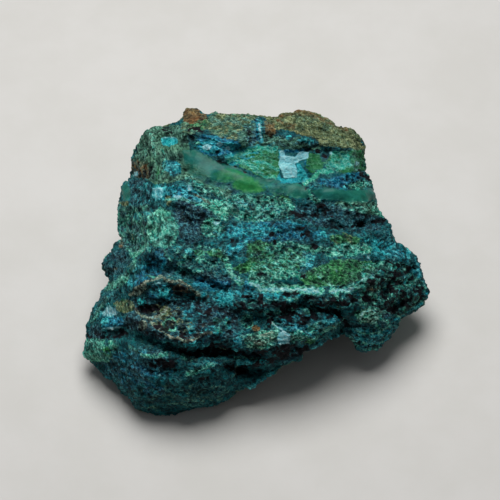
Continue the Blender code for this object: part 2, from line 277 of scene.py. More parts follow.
# %% Final points and normals
FACING_RANGE = (0.0, 0.18)
points = skin_points(skin)
normals = skin_normals(skin)
points_mm = points / MM
facing = smooth_step(*FACING_RANGE, normals @ np.array(view_back))
print("share of the skin that faces the viewer:", round(float((facing > 0.5).mean()), 2))

# %% [markdown]
# ## Minerals on the display side
# Black, and here and there slate, is also laid as painted shade: under overhangs, in undercuts and in
# creases.
#
# Each mineral is drawn as a person would note it in a sketch: areas with an outline, stripes
# with a half width, and spots. A number from 0 to 1 says how much of the ground it covers.
# Below 1 the material breaks the patch into grains, so 0.5 is a half-covered, speckled patch.
# The whole sketch is on the viewer's grid, in steps right and steps down, and noise bends its
# edges before it meets the stone. Brush strokes in the editor's vertex paint would do as well,
# but a sketch in words and numbers can be read, and corrected line by line.

# %% Sketch of the weathered crust and the top edge
# area: name, mineral, cover, outline
areas = []
# stripe: name, mineral, cover, half width, line
stripes = []
# spot: name, mineral, cover, middle (right, down), half size
spots = []


def add_sketch(title, more_areas, more_stripes, more_spots):
    """Adds one part of the sketch to the whole."""
    areas.extend(more_areas)
    stripes.extend(more_stripes)
    spots.extend(more_spots)
    counts = f"{len(more_areas)} areas, {len(more_stripes)} stripes, {len(more_spots)} spots"
    print("sketch of the", title + ":", counts)


CRUST_AREAS = [
    ("green crust", "olive", 0.5, [(207, 119), (213, 111), (225, 109), (243, 111), (262, 112),
     (262, 119), (252, 122), (243, 126), (243, 134), (239, 139), (228, 137), (214, 134), (203, 129)]),
    ("sage in the green crust", "sage", 0.9, [(208, 119), (214, 111), (236, 110), (262, 112), (256, 120),
     (240, 124), (236, 134), (220, 134), (206, 128)]),
    ("brown crust", "olive", 1.0, [(262, 113), (277, 116), (284, 110), (297, 108), (310, 110),
     (322, 114), (328, 119), (340, 121), (352, 126), (359, 133), (362, 142), (366, 148), (360, 151),
     (350, 149), (338, 147), (322, 145), (316, 139), (306, 137), (296, 134), (285, 130), (272, 131)]),
    ("rust under the crust", "rust", 0.74, [(263, 120), (274, 123), (277, 131), (271, 138), (267, 136),
     (264, 128)]),
    ("crust by the knob", "olive", 0.4, [(180, 127), (184, 120), (199, 119), (209, 118), (206, 126),
     (196, 131), (186, 134), (180, 132)]),
    ("sage by the knob", "sage", 0.8, [(180, 127), (184, 120), (209, 117), (208, 128), (196, 133),
     (184, 136)]),
    ("dark by the knob", "black", 0.52, [(182, 127), (190, 124), (208, 122), (206, 130), (192, 136)]),
    ("green by the knob", "green", 0.7, [(186, 128), (196, 120), (210, 119), (210, 128), (196, 131)]),
    ("slate under the crust", "slate", 0.4, [(272, 135), (285, 131), (300, 136), (316, 138), (321, 147),
     (308, 151), (296, 149), (283, 148), (275, 144)]),
    ("sage under the crust", "sage", 0.85, [(240, 132), (272, 135), (300, 137), (324, 148), (300, 152),
     (260, 148), (240, 148)]),
    ("slate by the vein", "slate", 0.5, [(243, 126), (252, 122), (258, 122), (258, 142), (250, 148),
     (243, 146), (238, 140)]),
    ("sage by the vein", "sage", 0.85, [(240, 124), (256, 122), (256, 140), (248, 148), (238, 142)]),
    ("green right edge", "green", 0.6, [(342, 150), (360, 150), (366, 153), (366, 170), (356, 173),
     (340, 171), (334, 162), (334, 153)]),
    ("sage right edge", "sage", 0.6, [(348, 148), (366, 150), (366, 172), (352, 168), (346, 156)]),
]
CRUST_STRIPES = [
    ("shadow left", "black", 0.55, 0.7, [(196, 131), (204, 132), (215, 134), (228, 137), (238, 141)]),
    ("shadow by the vein", "black", 0.62, 1.8, [(247, 128), (250, 136), (254, 144)]),
    ("shadow right", "black", 0.55, 1.0, [(283, 148), (296, 149), (310, 150), (324, 153)]),
    ("vein glow", "cyan", 0.95, 2.4, [(259, 123), (260, 132), (261, 141)]),
    ("vein", "white", 0.7, 1.3, [(259, 125), (260, 131), (261, 137)]),
    ("dark side of the vein", "blue", 0.9, 1.3, [(257, 118), (257, 124), (257, 140)]),
    ("rust streak", "rust", 0.55, 2.6, [(279, 121), (286, 125), (294, 127)]),
    ("brown crest", "rust", 0.52, 4.5, [(283, 115), (297, 112), (312, 114), (330, 122), (346, 128)]),
    ("moss on the crust", "green", 0.42, 3.5, [(318, 128), (334, 131), (350, 136)]),
    ("teal below the crust", "cyan", 0.6, 1.8, [(298, 140), (308, 141), (316, 144)]),
]
CRUST_SPOTS = [
    ("knob", "rust", 1.0, (191, 116), (8.4, 8)),
    ("small knob", "rust", 0.7, (203, 117), (5, 4)),
    ("green on the knob", "sage", 1.0, (197, 118), (4.5, 3.5)),
    ("purple hollow", "black", 0.9, (167, 131), (5, 4.5)),
    ("hollow by the cluster", "black", 0.6, (190, 141), (7, 6)),
    ("teal by the crust", "cyan", 0.9, (289, 137), (3.5, 3)),
    ("dark speck 1", "black", 0.9, (316, 152), (4, 2)),
    ("dark speck 2", "black", 0.8, (325, 156), (3, 3)),
    ("dark speck 3", "black", 0.8, (273, 117), (2, 1.5)),
]
add_sketch("crust and the top edge", CRUST_AREAS, CRUST_STRIPES, CRUST_SPOTS)

# %% Sketch of the upper face
UPPER_AREAS = [
    ("blue cluster", "blue", 1.0, [(197, 139), (200, 134), (212, 133), (224, 135), (238, 139),
     (241, 146), (233, 152), (220, 156), (209, 156), (202, 152), (197, 146)]),
    ("calm cluster", "glass", 0.22, [(197, 139), (200, 134), (224, 135), (238, 139), (241, 146),
     (233, 152), (220, 156), (209, 156), (202, 152), (197, 146)]),
    ("chip", "cyan", 1.0, [(161, 139), (164, 137), (175, 137), (178, 140), (177, 144), (170, 146),
     (162, 145)]),
    ("calm chip", "glass", 0.2, [(159, 137), (164, 135), (177, 135), (180, 140), (177, 146), (162, 147)]),
    ("glass band", "glass", 1.0, [(182, 152), (192, 149), (203, 153), (212, 158), (220, 162), (232, 165),
     (241, 169), (250, 176), (264, 179), (279, 180), (268, 184), (252, 183), (238, 181), (226, 183),
     (214, 180), (204, 174), (194, 166), (184, 160)]),
    ("glass turning green", "lens", 0.55, [(212, 172), (226, 167), (240, 170), (250, 177), (240, 183),
     (226, 184), (216, 180)]),
    ("green lens", "lens", 1.0, [(233, 184), (240, 179), (248, 178), (256, 181), (262, 185),
     (263, 189), (253, 192), (243, 191), (236, 189)]),
    ("edge of the green lens", "lens", 0.5, [(230, 184), (238, 176), (248, 175), (258, 179), (266, 184),
     (267, 190), (254, 195), (242, 194), (232, 190)]),
    ("swirl", "mint", 0.3, [(222, 160), (233, 152), (247, 148), (262, 143), (279, 146), (280, 165),
     (278, 178), (268, 180), (256, 174), (246, 168), (236, 163)]),
    ("smooth swirl", "glass", 0.3, [(222, 160), (233, 152), (247, 146), (280, 144), (306, 152),
     (324, 152), (340, 150), (360, 152), (362, 170), (330, 180), (296, 182), (268, 182), (246, 170)]),
    ("glass fading down", "glass", 0.5, [(182, 158), (194, 165), (204, 173), (214, 180), (230, 186),
     (228, 191), (208, 187), (194, 178), (184, 168)]),
    ("green in the swirl", "green", 0.95, [(244, 161), (258, 155), (262, 146), (279, 150), (279, 178),
     (266, 179), (252, 171), (240, 165)]),
    ("cyan in the swirl", "cyan", 0.8, [(222, 158), (236, 150), (262, 143), (262, 156), (244, 161),
     (234, 164)]),
    ("star", "white", 1.0, [(281, 149), (284, 151), (285, 156), (295, 157), (299, 152), (308, 152),
     (308, 158), (299, 161), (295, 164), (297, 170), (297, 177), (284, 178), (281, 170), (278, 165),
     (280, 158)]),
    ("star wedge", "cyan", 1.0, [(296, 161), (300, 165), (310, 178), (304, 180), (296, 180), (297, 172)]),
    ("green by the star", "green", 0.85, [(308, 154), (318, 153), (323, 160), (322, 169), (312, 173),
     (305, 167)]),
    ("green right of the star", "green", 0.55, [(322, 162), (333, 153), (352, 150), (358, 158),
     (356, 170), (344, 173), (328, 171)]),
    ("mint right of the star", "mint", 0.55, [(324, 166), (333, 152), (348, 150), (352, 166), (340, 172),
     (326, 174)]),
    ("slate in the green", "slate", 0.8, [(320, 153), (330, 154), (338, 157), (334, 162), (322, 162)]),
    ("glass lens", "glass", 1.0, [(284, 192), (288, 184), (297, 182), (304, 184), (309, 190),
     (309, 198), (301, 199), (290, 197)]),
    ("glass left of the lens", "glass", 0.6, [(266, 181), (279, 180), (288, 184), (286, 192), (276, 196),
     (268, 191)]),
    ("green under the lens", "green", 0.5, [(272, 192), (284, 190), (296, 197), (292, 204), (278, 204)]),
    ("deep blue band", "blue", 1.0, [(317, 179), (330, 179), (342, 174), (358, 171), (364, 176),
     (354, 182), (344, 188), (332, 187), (320, 185)]),
    ("slate in the band", "slate", 0.5, [(330, 176), (360, 171), (366, 176), (350, 183), (336, 186)]),
    ("glass band right", "glass", 1.0, [(311, 191), (326, 188), (350, 190), (373, 188), (377, 200),
     (362, 202), (340, 201), (318, 199)]),
    ("mint right edge", "mint", 0.95, [(350, 185), (358, 181), (371, 181), (372, 187), (358, 189),
     (351, 189)]),
    ("sage under the band", "sage", 0.6, [(334, 201), (377, 201), (388, 214), (372, 217), (352, 212),
     (338, 208)]),
    ("mint under the band", "mint", 0.42, [(334, 201), (377, 202), (388, 214), (366, 214), (342, 210)]),
    ("cyan grains", "cyan", 0.85, [(162, 163), (172, 160), (180, 163), (182, 172), (178, 177),
     (170, 176), (164, 170)]),
]
UPPER_STRIPES = [
    ("chip top", "white", 0.62, 0.8, [(163, 138), (170, 137), (176, 138)]),
    ("mint vein", "mint", 1.0, 1.8, [(230, 160), (238, 155), (250, 151), (264, 148), (277, 149)]),
    ("cyan stream", "cyan", 1.0, 2.8, [(232, 163), (240, 157), (248, 154), (256, 152)]),
    ("green flow 0", "green", 1.0, 1.2, [(230, 159), (238, 158), (246, 162)]),
    ("green flow 1", "green", 1.0, 1.3, [(240, 166), (252, 170), (262, 177)]),
    ("green flow 2", "green", 1.0, 1.2, [(250, 163), (262, 167), (276, 173)]),
    ("blue flow", "blue", 0.8, 0.8, [(240, 159), (250, 157), (262, 160)]),
    ("mint vein below", "mint", 0.95, 1.4, [(236, 162), (246, 163), (254, 170), (264, 176), (276, 178)]),
    ("mint flow 1", "mint", 0.8, 1.3, [(242, 160), (252, 165), (262, 173)]),
    ("mint flow 2", "mint", 0.8, 1.2, [(254, 161), (266, 163), (277, 170)]),
    ("mint flow 3", "mint", 0.7, 1.2, [(262, 168), (270, 172), (277, 177)]),
    ("cyan flow", "cyan", 0.7, 1.4, [(262, 150), (270, 146), (277, 143)]),
    ("leaf", "green", 1.0, 1.4, [(247, 157), (253, 154), (264, 157), (277, 160)]),
    ("glass upper edge", "black", 0.75, 0.7, [(203, 153), (212, 157), (220, 161), (232, 165), (241, 169),
     (248, 175)]),
    ("lens rim", "slate", 1.0, 0.9, [(280, 183), (289, 180), (299, 181), (306, 186), (310, 194)]),
    ("lens shade", "black", 0.75, 0.6, [(288, 180), (298, 181), (306, 186), (310, 193)]),
    ("band lower edge", "black", 0.7, 0.9, [(318, 184), (324, 187), (332, 188)]),
    ("star bar", "blue", 1.0, 1.7, [(285, 151), (298, 151), (308, 150)]),
    ("star inner shade", "blue", 0.75, 0.8, [(287, 157), (296, 156), (300, 155)]),
    ("star halo", "cyan", 1.0, 1.9, [(280, 151), (278, 160), (277, 168), (279, 178), (284, 181),
     (297, 180), (310, 180)]),
    ("star halo dark", "blue", 1.0, 1.0, [(278, 158), (277, 165), (278, 173), (282, 180), (292, 180)]),
    ("wedge edge", "blue", 0.85, 0.8, [(297, 163), (302, 168), (309, 177)]),
    ("mint chain", "mint", 0.95, 2.2, [(302, 184), (312, 180), (320, 172), (330, 169)]),
    ("mint below the lens", "mint", 0.95, 1.9, [(309, 192), (312, 198), (319, 202)]),
    ("notch", "black", 0.95, 2.0, [(358, 171), (364, 176), (372, 180)]),
    ("pepper under the glass", "slate", 0.5, 3.6, [(192, 176), (206, 181), (222, 185), (236, 191)]),
    ("grey grains", "sage", 0.85, 7.0, [(184, 168), (196, 174), (212, 184), (226, 192)]),
    ("pale grains", "mint", 0.45, 5.0, [(190, 180), (204, 190), (222, 194)]),
    ("blue tail", "cyan", 0.8, 1.8, [(340, 190), (346, 187), (352, 186)]),
]
UPPER_SPOTS = [
    ("cluster ring 1", "white", 0.85, (207, 147), (5, 3.2)),
    ("cluster ring 2", "white", 0.9, (220, 144), (3, 3)),
    ("cluster ring 3", "white", 0.85, (228, 148), (2.6, 2.2)),
    ("cluster ring 4", "mint", 0.9, (198, 143), (2.4, 2)),
    ("cluster light", "cyan", 0.72, (212, 146), (12, 8)),
    ("cluster light right", "cyan", 0.62, (229, 145), (9, 6)),
    ("mint grain 1", "mint", 0.95, (199, 166), (4, 4)),
    ("mint grain 2", "mint", 0.9, (207, 169), (4, 3)),
    ("white speck 1", "white", 0.6, (331, 154), (2.4, 2)),
    ("white speck 2", "white", 0.6, (356, 164), (3, 3)),
    ("white speck 3", "white", 0.6, (354, 171), (2.4, 1.6)),
    ("blue by the wedge", "blue", 0.8, (308, 163), (4, 2.6)),
    ("bright right edge", "mint", 0.8, (380, 213), (6, 4)),
]
add_sketch("upper face", UPPER_AREAS, UPPER_STRIPES, UPPER_SPOTS)

# %% Sketch of the middle of the face
BLACK_BAND = [(232, 302), (264, 298), (304, 296), (352, 292), (360, 304), (330, 312), (284, 318),
              (238, 312)]
MIDDLE_AREAS = [
    ("peppered mint", "mint", 0.62, [(222, 199), (240, 193), (262, 194), (285, 198), (297, 206),
     (290, 217), (262, 223), (240, 222), (226, 212)]),
    ("cyan in the pepper", "cyan", 0.6, [(234, 200), (262, 199), (276, 208), (262, 218), (238, 214)]),
    ("slate pepper", "slate", 0.62, [(288, 206), (310, 202), (338, 203), (372, 214), (386, 221),
     (380, 231), (350, 231), (320, 227), (296, 219)]),
    ("blue middle", "blue", 0.62, [(226, 227), (250, 221), (290, 222), (320, 228), (332, 234),
     (318, 241), (290, 241), (250, 241), (232, 246)]),
    ("cyan middle", "cyan", 0.62, [(226, 226), (240, 222), (264, 222), (284, 230), (272, 240),
     (250, 240), (238, 254), (228, 250)]),
    ("green field 1", "green", 0.9, [(248, 244), (258, 238), (267, 242), (265, 250), (256, 255),
     (249, 253)]),
    ("green field 2", "green", 0.9, [(233, 267), (244, 262), (254, 262), (254, 269), (244, 274),
     (235, 272)]),
    ("green field 3", "green", 0.85, [(268, 263), (282, 257), (298, 257), (303, 264), (290, 269),
     (272, 273)]),
    ("green field", "green", 0.56, [(246, 244), (276, 242), (302, 252), (300, 270), (270, 276),
     (244, 274)]),
    ("mint in the field", "mint", 0.46, [(250, 252), (270, 246), (300, 246), (318, 252), (304, 268),
     (290, 278), (262, 282), (250, 276)]),
    ("blue in the field", "cyan", 0.7, [(288, 250), (302, 250), (316, 256), (312, 270), (298, 266)]),
    ("slate in the field", "slate", 0.5, [(304, 256), (320, 256), (334, 262), (316, 266), (306, 264)]),
    ("olive right", "olive", 0.32, [(330, 237), (345, 232), (359, 238), (357, 246), (338, 247)]),
    ("green above right", "green", 0.75, [(328, 237), (345, 233), (360, 238), (358, 247), (336, 248)]),
    ("mint right", "mint", 0.66, [(320, 247), (345, 244), (368, 243), (374, 251), (350, 258),
     (326, 256)]),
    ("green right field", "green", 0.7, [(316, 267), (330, 260), (352, 259), (372, 262), (377, 270),
     (368, 278), (350, 285), (330, 287), (308, 286), (298, 279), (306, 272)]),
    ("sage in the right field", "sage", 0.9, [(316, 267), (350, 259), (376, 264), (368, 278),
     (340, 287), (306, 284), (304, 273)]),
    ("teal right", "cyan", 0.6, [(362, 238), (380, 238), (400, 246), (416, 256), (424, 276),
     (404, 284), (384, 272), (372, 254)]),
    ("slate right", "slate", 0.36, [(376, 230), (396, 244), (418, 256), (426, 280), (404, 286),
     (386, 266)]),
    ("black band left", "black", 0.72, [(232, 303), (250, 299), (264, 302), (284, 301), (303, 304),
     (300, 311), (284, 315), (258, 313), (238, 309)]),
    ("black band right", "black", 0.75, [(304, 296), (330, 298), (352, 294), (359, 302), (342, 308),
     (312, 307)]),
    ("brown in the band", "rust", 0.34, [(306, 297), (352, 296), (357, 303), (330, 307), (310, 304)]),
    ("teal above the band", "cyan", 0.7, [(234, 290), (262, 292), (300, 292), (304, 304), (282, 300),
     (240, 298)]),
    ("teal net in the band", "cyan", 0.5, BLACK_BAND),
    ("pale net in the band", "mint", 0.36, BLACK_BAND),
]
MIDDLE_STRIPES = [
    ("purple streak 1", "black", 0.9, 2.2, [(290, 213), (303, 215), (318, 216)]),
    ("purple streak 2", "black", 0.72, 3.0, [(318, 205), (326, 210), (332, 215)]),
    ("purple streak 3", "black", 0.9, 1.6, [(324, 225), (336, 228), (352, 226), (366, 225), (384, 220)]),
    ("white thread", "white", 0.6, 0.7, [(352, 225), (358, 224), (366, 226)]),
    ("mint run", "mint", 0.85, 2.6, [(276, 244), (288, 243), (304, 247), (322, 250)]),
    ("cyan run", "cyan", 0.7, 2.4, [(322, 233), (334, 238), (342, 252)]),
    ("mint crest left", "mint", 1.0, 3.0, [(229, 267), (232, 275), (241, 282)]),
    ("white crest left", "white", 0.6, 1.8, [(233, 276), (241, 281)]),
    ("mint line", "mint", 1.0, 4.4, [(252, 280), (262, 287), (284, 288), (306, 290), (320, 291)]),
    ("white line", "white", 0.62, 2.4, [(252, 284), (262, 289), (284, 290), (306, 290), (318, 291)]),
    ("mint fall", "mint", 0.85, 2.8, [(268, 280), (280, 274), (292, 272), (304, 276)]),
    ("mint line right", "mint", 0.95, 2.8, [(330, 292), (342, 290), (356, 287), (372, 279)]),
    ("white line right", "white", 0.75, 1.9, [(332, 293), (342, 290), (352, 289)]),
    ("white fleck line", "white", 0.55, 1.4, [(360, 281), (366, 278), (372, 277)]),
    ("mint among the green", "mint", 0.8, 1.6, [(318, 276), (326, 282), (332, 286)]),
]
MIDDLE_SPOTS = [
    ("black blob 1", "black", 1.0, (291, 294), (9, 2.6)),
    ("black blob 2", "black", 0.95, (246, 296), (5, 1.8)),
    ("black blob 3", "black", 0.95, (260, 298), (3, 5)),
    ("black blob 4", "black", 0.9, (274, 303), (6, 3)),
    ("black spot 1", "black", 1.0, (273, 235), (2.6, 2)),
    ("black spot 2", "black", 1.0, (306, 234), (5, 2.6)),
    ("black spot 3", "black", 1.0, (315, 246), (4, 2.4)),
    ("black spot 4", "black", 1.0, (247, 256), (2.2, 3.6)),
    ("black spot 5", "black", 1.0, (274, 243), (2.2, 2.6)),
    ("black spot 6", "black", 1.0, (232, 242), (2.2, 2.6)),
    ("black spot 7", "black", 0.9, (261, 275), (3.6, 2.6)),
    ("black spot 8", "black", 0.9, (304, 276), (3, 2.4)),
    ("black spot 9", "black", 0.9, (259, 254), (2, 2)),
    ("black spot 10", "black", 0.9, (302, 227), (3, 2)),
    ("cyan pool", "cyan", 1.0, (233, 250), (7, 7)),
    ("teal lump", "blue", 0.9, (247, 286), (5, 6)),
    ("green spot 1", "green", 1.0, (199, 252), (4.5, 3.6)),
    ("green spot 2", "green", 1.0, (215, 253), (7, 5)),
    ("green spot 3", "green", 0.8, (223, 258), (5, 4)),
    ("green in the pepper", "green", 0.6, (284, 200), (9, 4)),
    ("white speck", "white", 0.7, (368, 257), (2, 1.6)),
    ("white speck b", "white", 0.6, (336, 272), (2, 1.4)),
]
add_sketch("middle of the face", MIDDLE_AREAS, MIDDLE_STRIPES, MIDDLE_SPOTS)

# %% Sketch of the left side
LEFT_AREAS = [
    ("sage fibres", "sage", 0.95, [(133, 160), (138, 142), (141, 131), (148, 126), (162, 124),
     (178, 126), (186, 136), (190, 150), (196, 162), (190, 176), (178, 182), (165, 182), (154, 186),
     (142, 172)]),
    ("brown roots", "rust", 0.5, [(128, 160), (148, 160), (152, 176), (144, 180), (132, 176)]),
    ("pale lens", "glass", 0.8, [(121, 190), (126, 182), (131, 188), (130, 200), (124, 201)]),
    ("slate left", "slate", 0.9, [(130, 180), (146, 179), (152, 190), (148, 206), (140, 211),
     (130, 208), (130, 192)]),
    ("pale lump", "white", 0.5, [(152, 189), (158, 186), (164, 190), (163, 197), (157, 201), (152, 196)]),
    ("cyan in the pale lump", "cyan", 0.8, [(150, 186), (160, 184), (166, 190), (164, 200), (154, 202)]),
    ("blue run", "cyan", 0.6, [(163, 187), (176, 184), (192, 186), (200, 196), (206, 204), (196, 204),
     (180, 199), (168, 197)]),
    ("blue in the run", "blue", 1.0, [(166, 186), (178, 185), (188, 192), (194, 199), (180, 197)]),
    ("mint end of the run", "mint", 0.95, [(200, 203), (208, 199), (224, 201), (231, 208), (227, 222),
     (218, 216), (208, 210)]),
    ("great slate", "slate", 0.95, [(176, 202), (190, 201), (204, 206), (213, 212), (211, 222), (204, 230),
     (200, 241), (190, 245), (180, 239), (178, 224), (174, 212)]),
    ("mint fibres", "mint", 0.8, [(149, 215), (160, 207), (170, 211), (177, 222), (179, 233), (176, 243),
     (166, 248), (154, 247), (147, 239), (147, 226)]),
    ("mint fibres core", "mint", 1.0, [(162, 218), (172, 214), (178, 226), (178, 238), (168, 244),
     (162, 236)]),
    ("green among the fibres", "green", 0.45, [(150, 214), (164, 206), (172, 212), (160, 236), (150, 242)]),
    ("slate left face", "slate", 0.6, [(116, 210), (130, 205), (148, 206), (152, 222), (146, 238),
     (134, 250), (122, 254), (115, 238)]),
    ("cyan on the left face", "cyan", 0.85, [(134, 213), (146, 210), (151, 215), (146, 222), (136, 221)]),
    ("mint net on the left face", "mint", 0.46, [(118, 206), (150, 204), (153, 238), (132, 256),
     (116, 240)]),
    ("teal net on the left slab", "cyan", 0.42, [(122, 184), (148, 182), (150, 206), (122, 208)]),
    ("pale rings", "mint", 0.62, [(200, 224), (208, 218), (222, 219), (226, 230), (216, 238), (202, 236)]),
    ("cyan in the rings", "cyan", 0.7, [(212, 228), (224, 226), (226, 238), (216, 240)]),
    ("navy slope", "blue", 0.55, [(146, 254), (162, 249), (168, 262), (162, 274), (148, 280),
     (134, 288), (138, 272)]),
    ("slate slope", "slate", 0.95, [(150, 252), (166, 248), (172, 262), (164, 276), (150, 276)]),
    ("slate left bump", "slate", 0.6, [(102, 264), (112, 250), (124, 252), (132, 262), (122, 274),
     (110, 278), (102, 271)]),
    ("mint slope", "mint", 0.82, [(104, 292), (108, 284), (118, 278), (130, 272), (130, 279),
     (120, 288)]),
    # painted shade: slate laid in the crease at the foot of the slope, behind the arch's rim
    ("dark under the slope", "slate", 0.95, [(162, 262), (178, 260), (178, 270), (170, 278), (160, 276)]),
    ("navy right", "blue", 0.6, [(192, 276), (210, 278), (230, 280), (230, 291), (206, 292),
     (192, 286)]),
    ("slate by the navy", "slate", 0.7, [(190, 272), (210, 272), (232, 276), (230, 290), (200, 290)]),
    ("mixed grains", "mint", 0.3, [(168, 246), (196, 244), (226, 250), (232, 266), (216, 276), (182, 274)]),
    ("mixed cyan", "cyan", 0.4, [(170, 246), (192, 248), (196, 262), (180, 266)]),
]
LEFT_STRIPES = [
    ("pale strand 1", "mint", 0.55, 1.4, [(152, 134), (154, 150), (156, 168)]),
    ("pale strand 2", "mint", 0.5, 1.2, [(147, 144), (145, 158)]),
    ("pale strand 3", "mint", 0.55, 1.4, [(161, 150), (166, 160), (162, 174)]),
    ("green strand", "green", 0.6, 1.6, [(158, 166), (158, 176), (155, 184)]),
    ("root 1", "rust", 0.85, 1.0, [(141, 168), (143, 178)]),
    ("root 2", "rust", 0.85, 1.0, [(146, 165), (147, 178)]),
    ("root shade 1", "black", 0.95, 1.0, [(139, 162), (140, 176)]),
    ("root shade 2", "black", 0.95, 1.0, [(144, 166), (145, 179)]),
    ("root shade 3", "black", 0.95, 1.1, [(150, 167), (150, 178)]),
    ("pale edge of the run", "mint", 0.9, 1.4, [(166, 200), (178, 198), (192, 203), (206, 208)]),
    ("olive in the run", "beige", 0.6, 1.4, [(194, 194), (202, 199), (210, 203)]),
    ("ring", "mint", 0.95, 1.1, [(206, 222), (212, 226), (210, 235), (204, 233), (202, 226), (206, 222)]),
    ("ridge head", "mint", 1.0, 2.4, [(147, 246), (141, 251), (133, 256)]),
    ("ridge head crest", "white", 0.5, 1.4, [(145, 248), (138, 253)]),
    ("ridge flecks", "mint", 0.9, 1.6, [(135, 261), (134, 266), (129, 272)]),
    ("ridge cyan", "cyan", 0.9, 1.8, [(134, 270), (141, 266), (148, 263)]),
    ("mint strand down", "mint", 0.6, 1.6, [(140, 232), (144, 242), (150, 252)]),
    ("strand by the slate", "mint", 0.5, 1.2, [(163, 246), (166, 254), (172, 262)]),
    ("dark fold", "slate", 0.9, 2.4, [(132, 236), (136, 246), (132, 256)]),
]
LEFT_SPOTS = [
    ("white dot", "white", 1.0, (136, 174), (2.8, 2.4)),
    ("white at the run 1", "white", 0.75, (190, 188), (3, 3)),
    ("white at the run 2", "white", 0.7, (178, 197), (4, 2)),
    ("brown spot", "olive", 0.8, (169, 200), (3, 5)),
    ("olive spot", "olive", 0.8, (126, 204), (5, 3)),
    ("mint fleck 1", "mint", 0.8, (125, 224), (4, 2.4)),
    ("mint fleck 2", "mint", 0.8, (128, 231), (3, 3)),
    ("mint fleck 3", "mint", 0.95, (134, 235), (2.6, 5)),
    ("mint fleck 4", "mint", 0.7, (121, 234), (3, 3)),
    ("brown notch", "rust", 0.6, (121, 245), (3.4, 4)),
    ("brown bump", "rust", 0.45, (116, 270), (4, 3)),
    ("white ring piece", "white", 0.6, (216, 223), (4.5, 2.4)),
    ("teal patch", "cyan", 0.9, (131, 281), (3.6, 6)),
    ("mint under green", "mint", 0.8, (199, 259), (4, 2.4)),
    ("white mid", "white", 0.5, (176, 259), (3, 2)),
]
add_sketch("left side", LEFT_AREAS, LEFT_STRIPES, LEFT_SPOTS)

# %% Sketch of the front lobe
FIRST_LUMP = [(114, 303), (122, 299), (133, 301), (135, 308), (128, 314), (117, 311)]
LUMP_FIELD = [(128, 298), (176, 296), (214, 298), (240, 312), (236, 338), (196, 344), (150, 338),
              (124, 326)]
LOBE_AREAS = [
    ("beige fold", "beige", 0.6, [(131, 293), (138, 286), (148, 282), (147, 289), (140, 296), (132, 298)]),
    ("pocket blue", "blue", 0.8, [(147, 293), (152, 286), (160, 283), (168, 286), (175, 292),
     (170, 299), (158, 299), (149, 298)]),
    ("pocket cyan", "cyan", 0.62, [(148, 290), (160, 283), (170, 287), (172, 297), (158, 297)]),
    ("pocket brown", "rust", 0.5, [(172, 286), (180, 283), (186, 287), (194, 292), (184, 297),
     (173, 294)]),
    ("pocket dark", "black", 0.6, [(173, 287), (181, 285), (187, 290), (182, 296), (174, 294)]),
    ("hole", "black", 1.0, [(139, 307), (146, 304), (156, 304), (161, 308), (154, 314), (144, 313)]),
    ("green lump 1", "green", 0.6, FIRST_LUMP),
    ("olive lump 1", "olive", 0.6, FIRST_LUMP),
    ("olive lump 2", "olive", 0.85, [(158, 309), (166, 304), (172, 309), (168, 316), (159, 316)]),
    ("pale shoulder", "white", 0.55, [(103, 310), (109, 304), (117, 309), (121, 314), (110, 318),
     (102, 316)]),
    ("cyan shoulder", "cyan", 0.7, [(98, 310), (108, 303), (122, 312), (112, 318), (98, 318)]),
    ("blue block", "blue", 1.0, [(100, 317), (110, 316), (124, 318), (125, 324), (118, 328),
     (103, 328)]),
    ("blue block end", "cyan", 0.8, [(100, 317), (108, 316), (109, 323), (103, 326)]),
    # painted shade: black laid below the block
    ("dark under the block", "black", 0.85, [(102, 332), (124, 330), (130, 335), (124, 340), (106, 338)]),
    ("slate shoulder", "slate", 0.75, [(88, 330), (98, 322), (106, 333), (98, 341), (89, 339)]),
    ("mint corner", "mint", 0.8, [(84, 342), (94, 338), (104, 339), (107, 347), (101, 352), (113, 358),
     (109, 362), (96, 362), (85, 357), (83, 349)]),
    ("green corner", "green", 0.6, [(84, 341), (94, 337), (106, 340), (112, 358), (98, 362), (84, 358)]),
    ("cyan cluster 1", "cyan", 1.0, [(184, 310), (192, 307), (201, 313), (200, 321), (191, 325),
     (184, 320)]),
    ("cyan cluster 2", "cyan", 0.9, [(187, 326), (196, 326), (194, 335), (187, 333)]),
    ("cyan cluster 3", "cyan", 1.0, [(217, 293), (228, 287), (235, 296), (231, 307), (219, 306)]),
    ("cyan cluster 4", "cyan", 0.85, [(211, 323), (222, 316), (233, 318), (231, 331), (216, 337),
     (210, 330)]),
    ("mint in cluster 4", "mint", 0.5, [(212, 318), (224, 316), (232, 320), (228, 330), (214, 334)]),
    ("tongue", "cyan", 0.95, [(186, 344), (194, 341), (204, 338), (204, 344), (194, 348), (186, 347)]),
    # painted shade: black laid in the undercut below the thin rims
    ("undercut", "black", 1.0, [(178, 347), (190, 350), (204, 348), (216, 343), (231, 347), (233, 353),
     (214, 357), (196, 358), (180, 354)]),
    ("dark below the flecks", "black", 0.85, [(146, 361), (160, 359), (177, 357), (178, 366), (162, 369),
     (149, 366)]),
    ("dark between the lumps", "slate", 0.74, LUMP_FIELD),
    ("teal among the lumps", "cyan", 0.34, [(172, 294), (206, 292), (238, 300), (238, 334), (206, 338),
     (184, 326)]),
    ("pitted lobe", "black", 0.49, LUMP_FIELD),
    ("olive among the lumps", "olive", 0.42, [(146, 304), (176, 304), (196, 326), (186, 336),
     (160, 330), (140, 318)]),
    ("deep belly", "blue", 0.38, [(104, 362), (120, 348), (150, 352), (176, 368), (160, 398),
     (128, 390), (106, 376)]),
    ("slate belly", "slate", 0.5, [(98, 362), (112, 352), (140, 346), (164, 348), (172, 372), (140, 380),
     (108, 376)]),
    ("sage bottom", "sage", 0.36, [(128, 388), (160, 384), (200, 384), (236, 386), (214, 404),
     (160, 410), (136, 406)]),
]
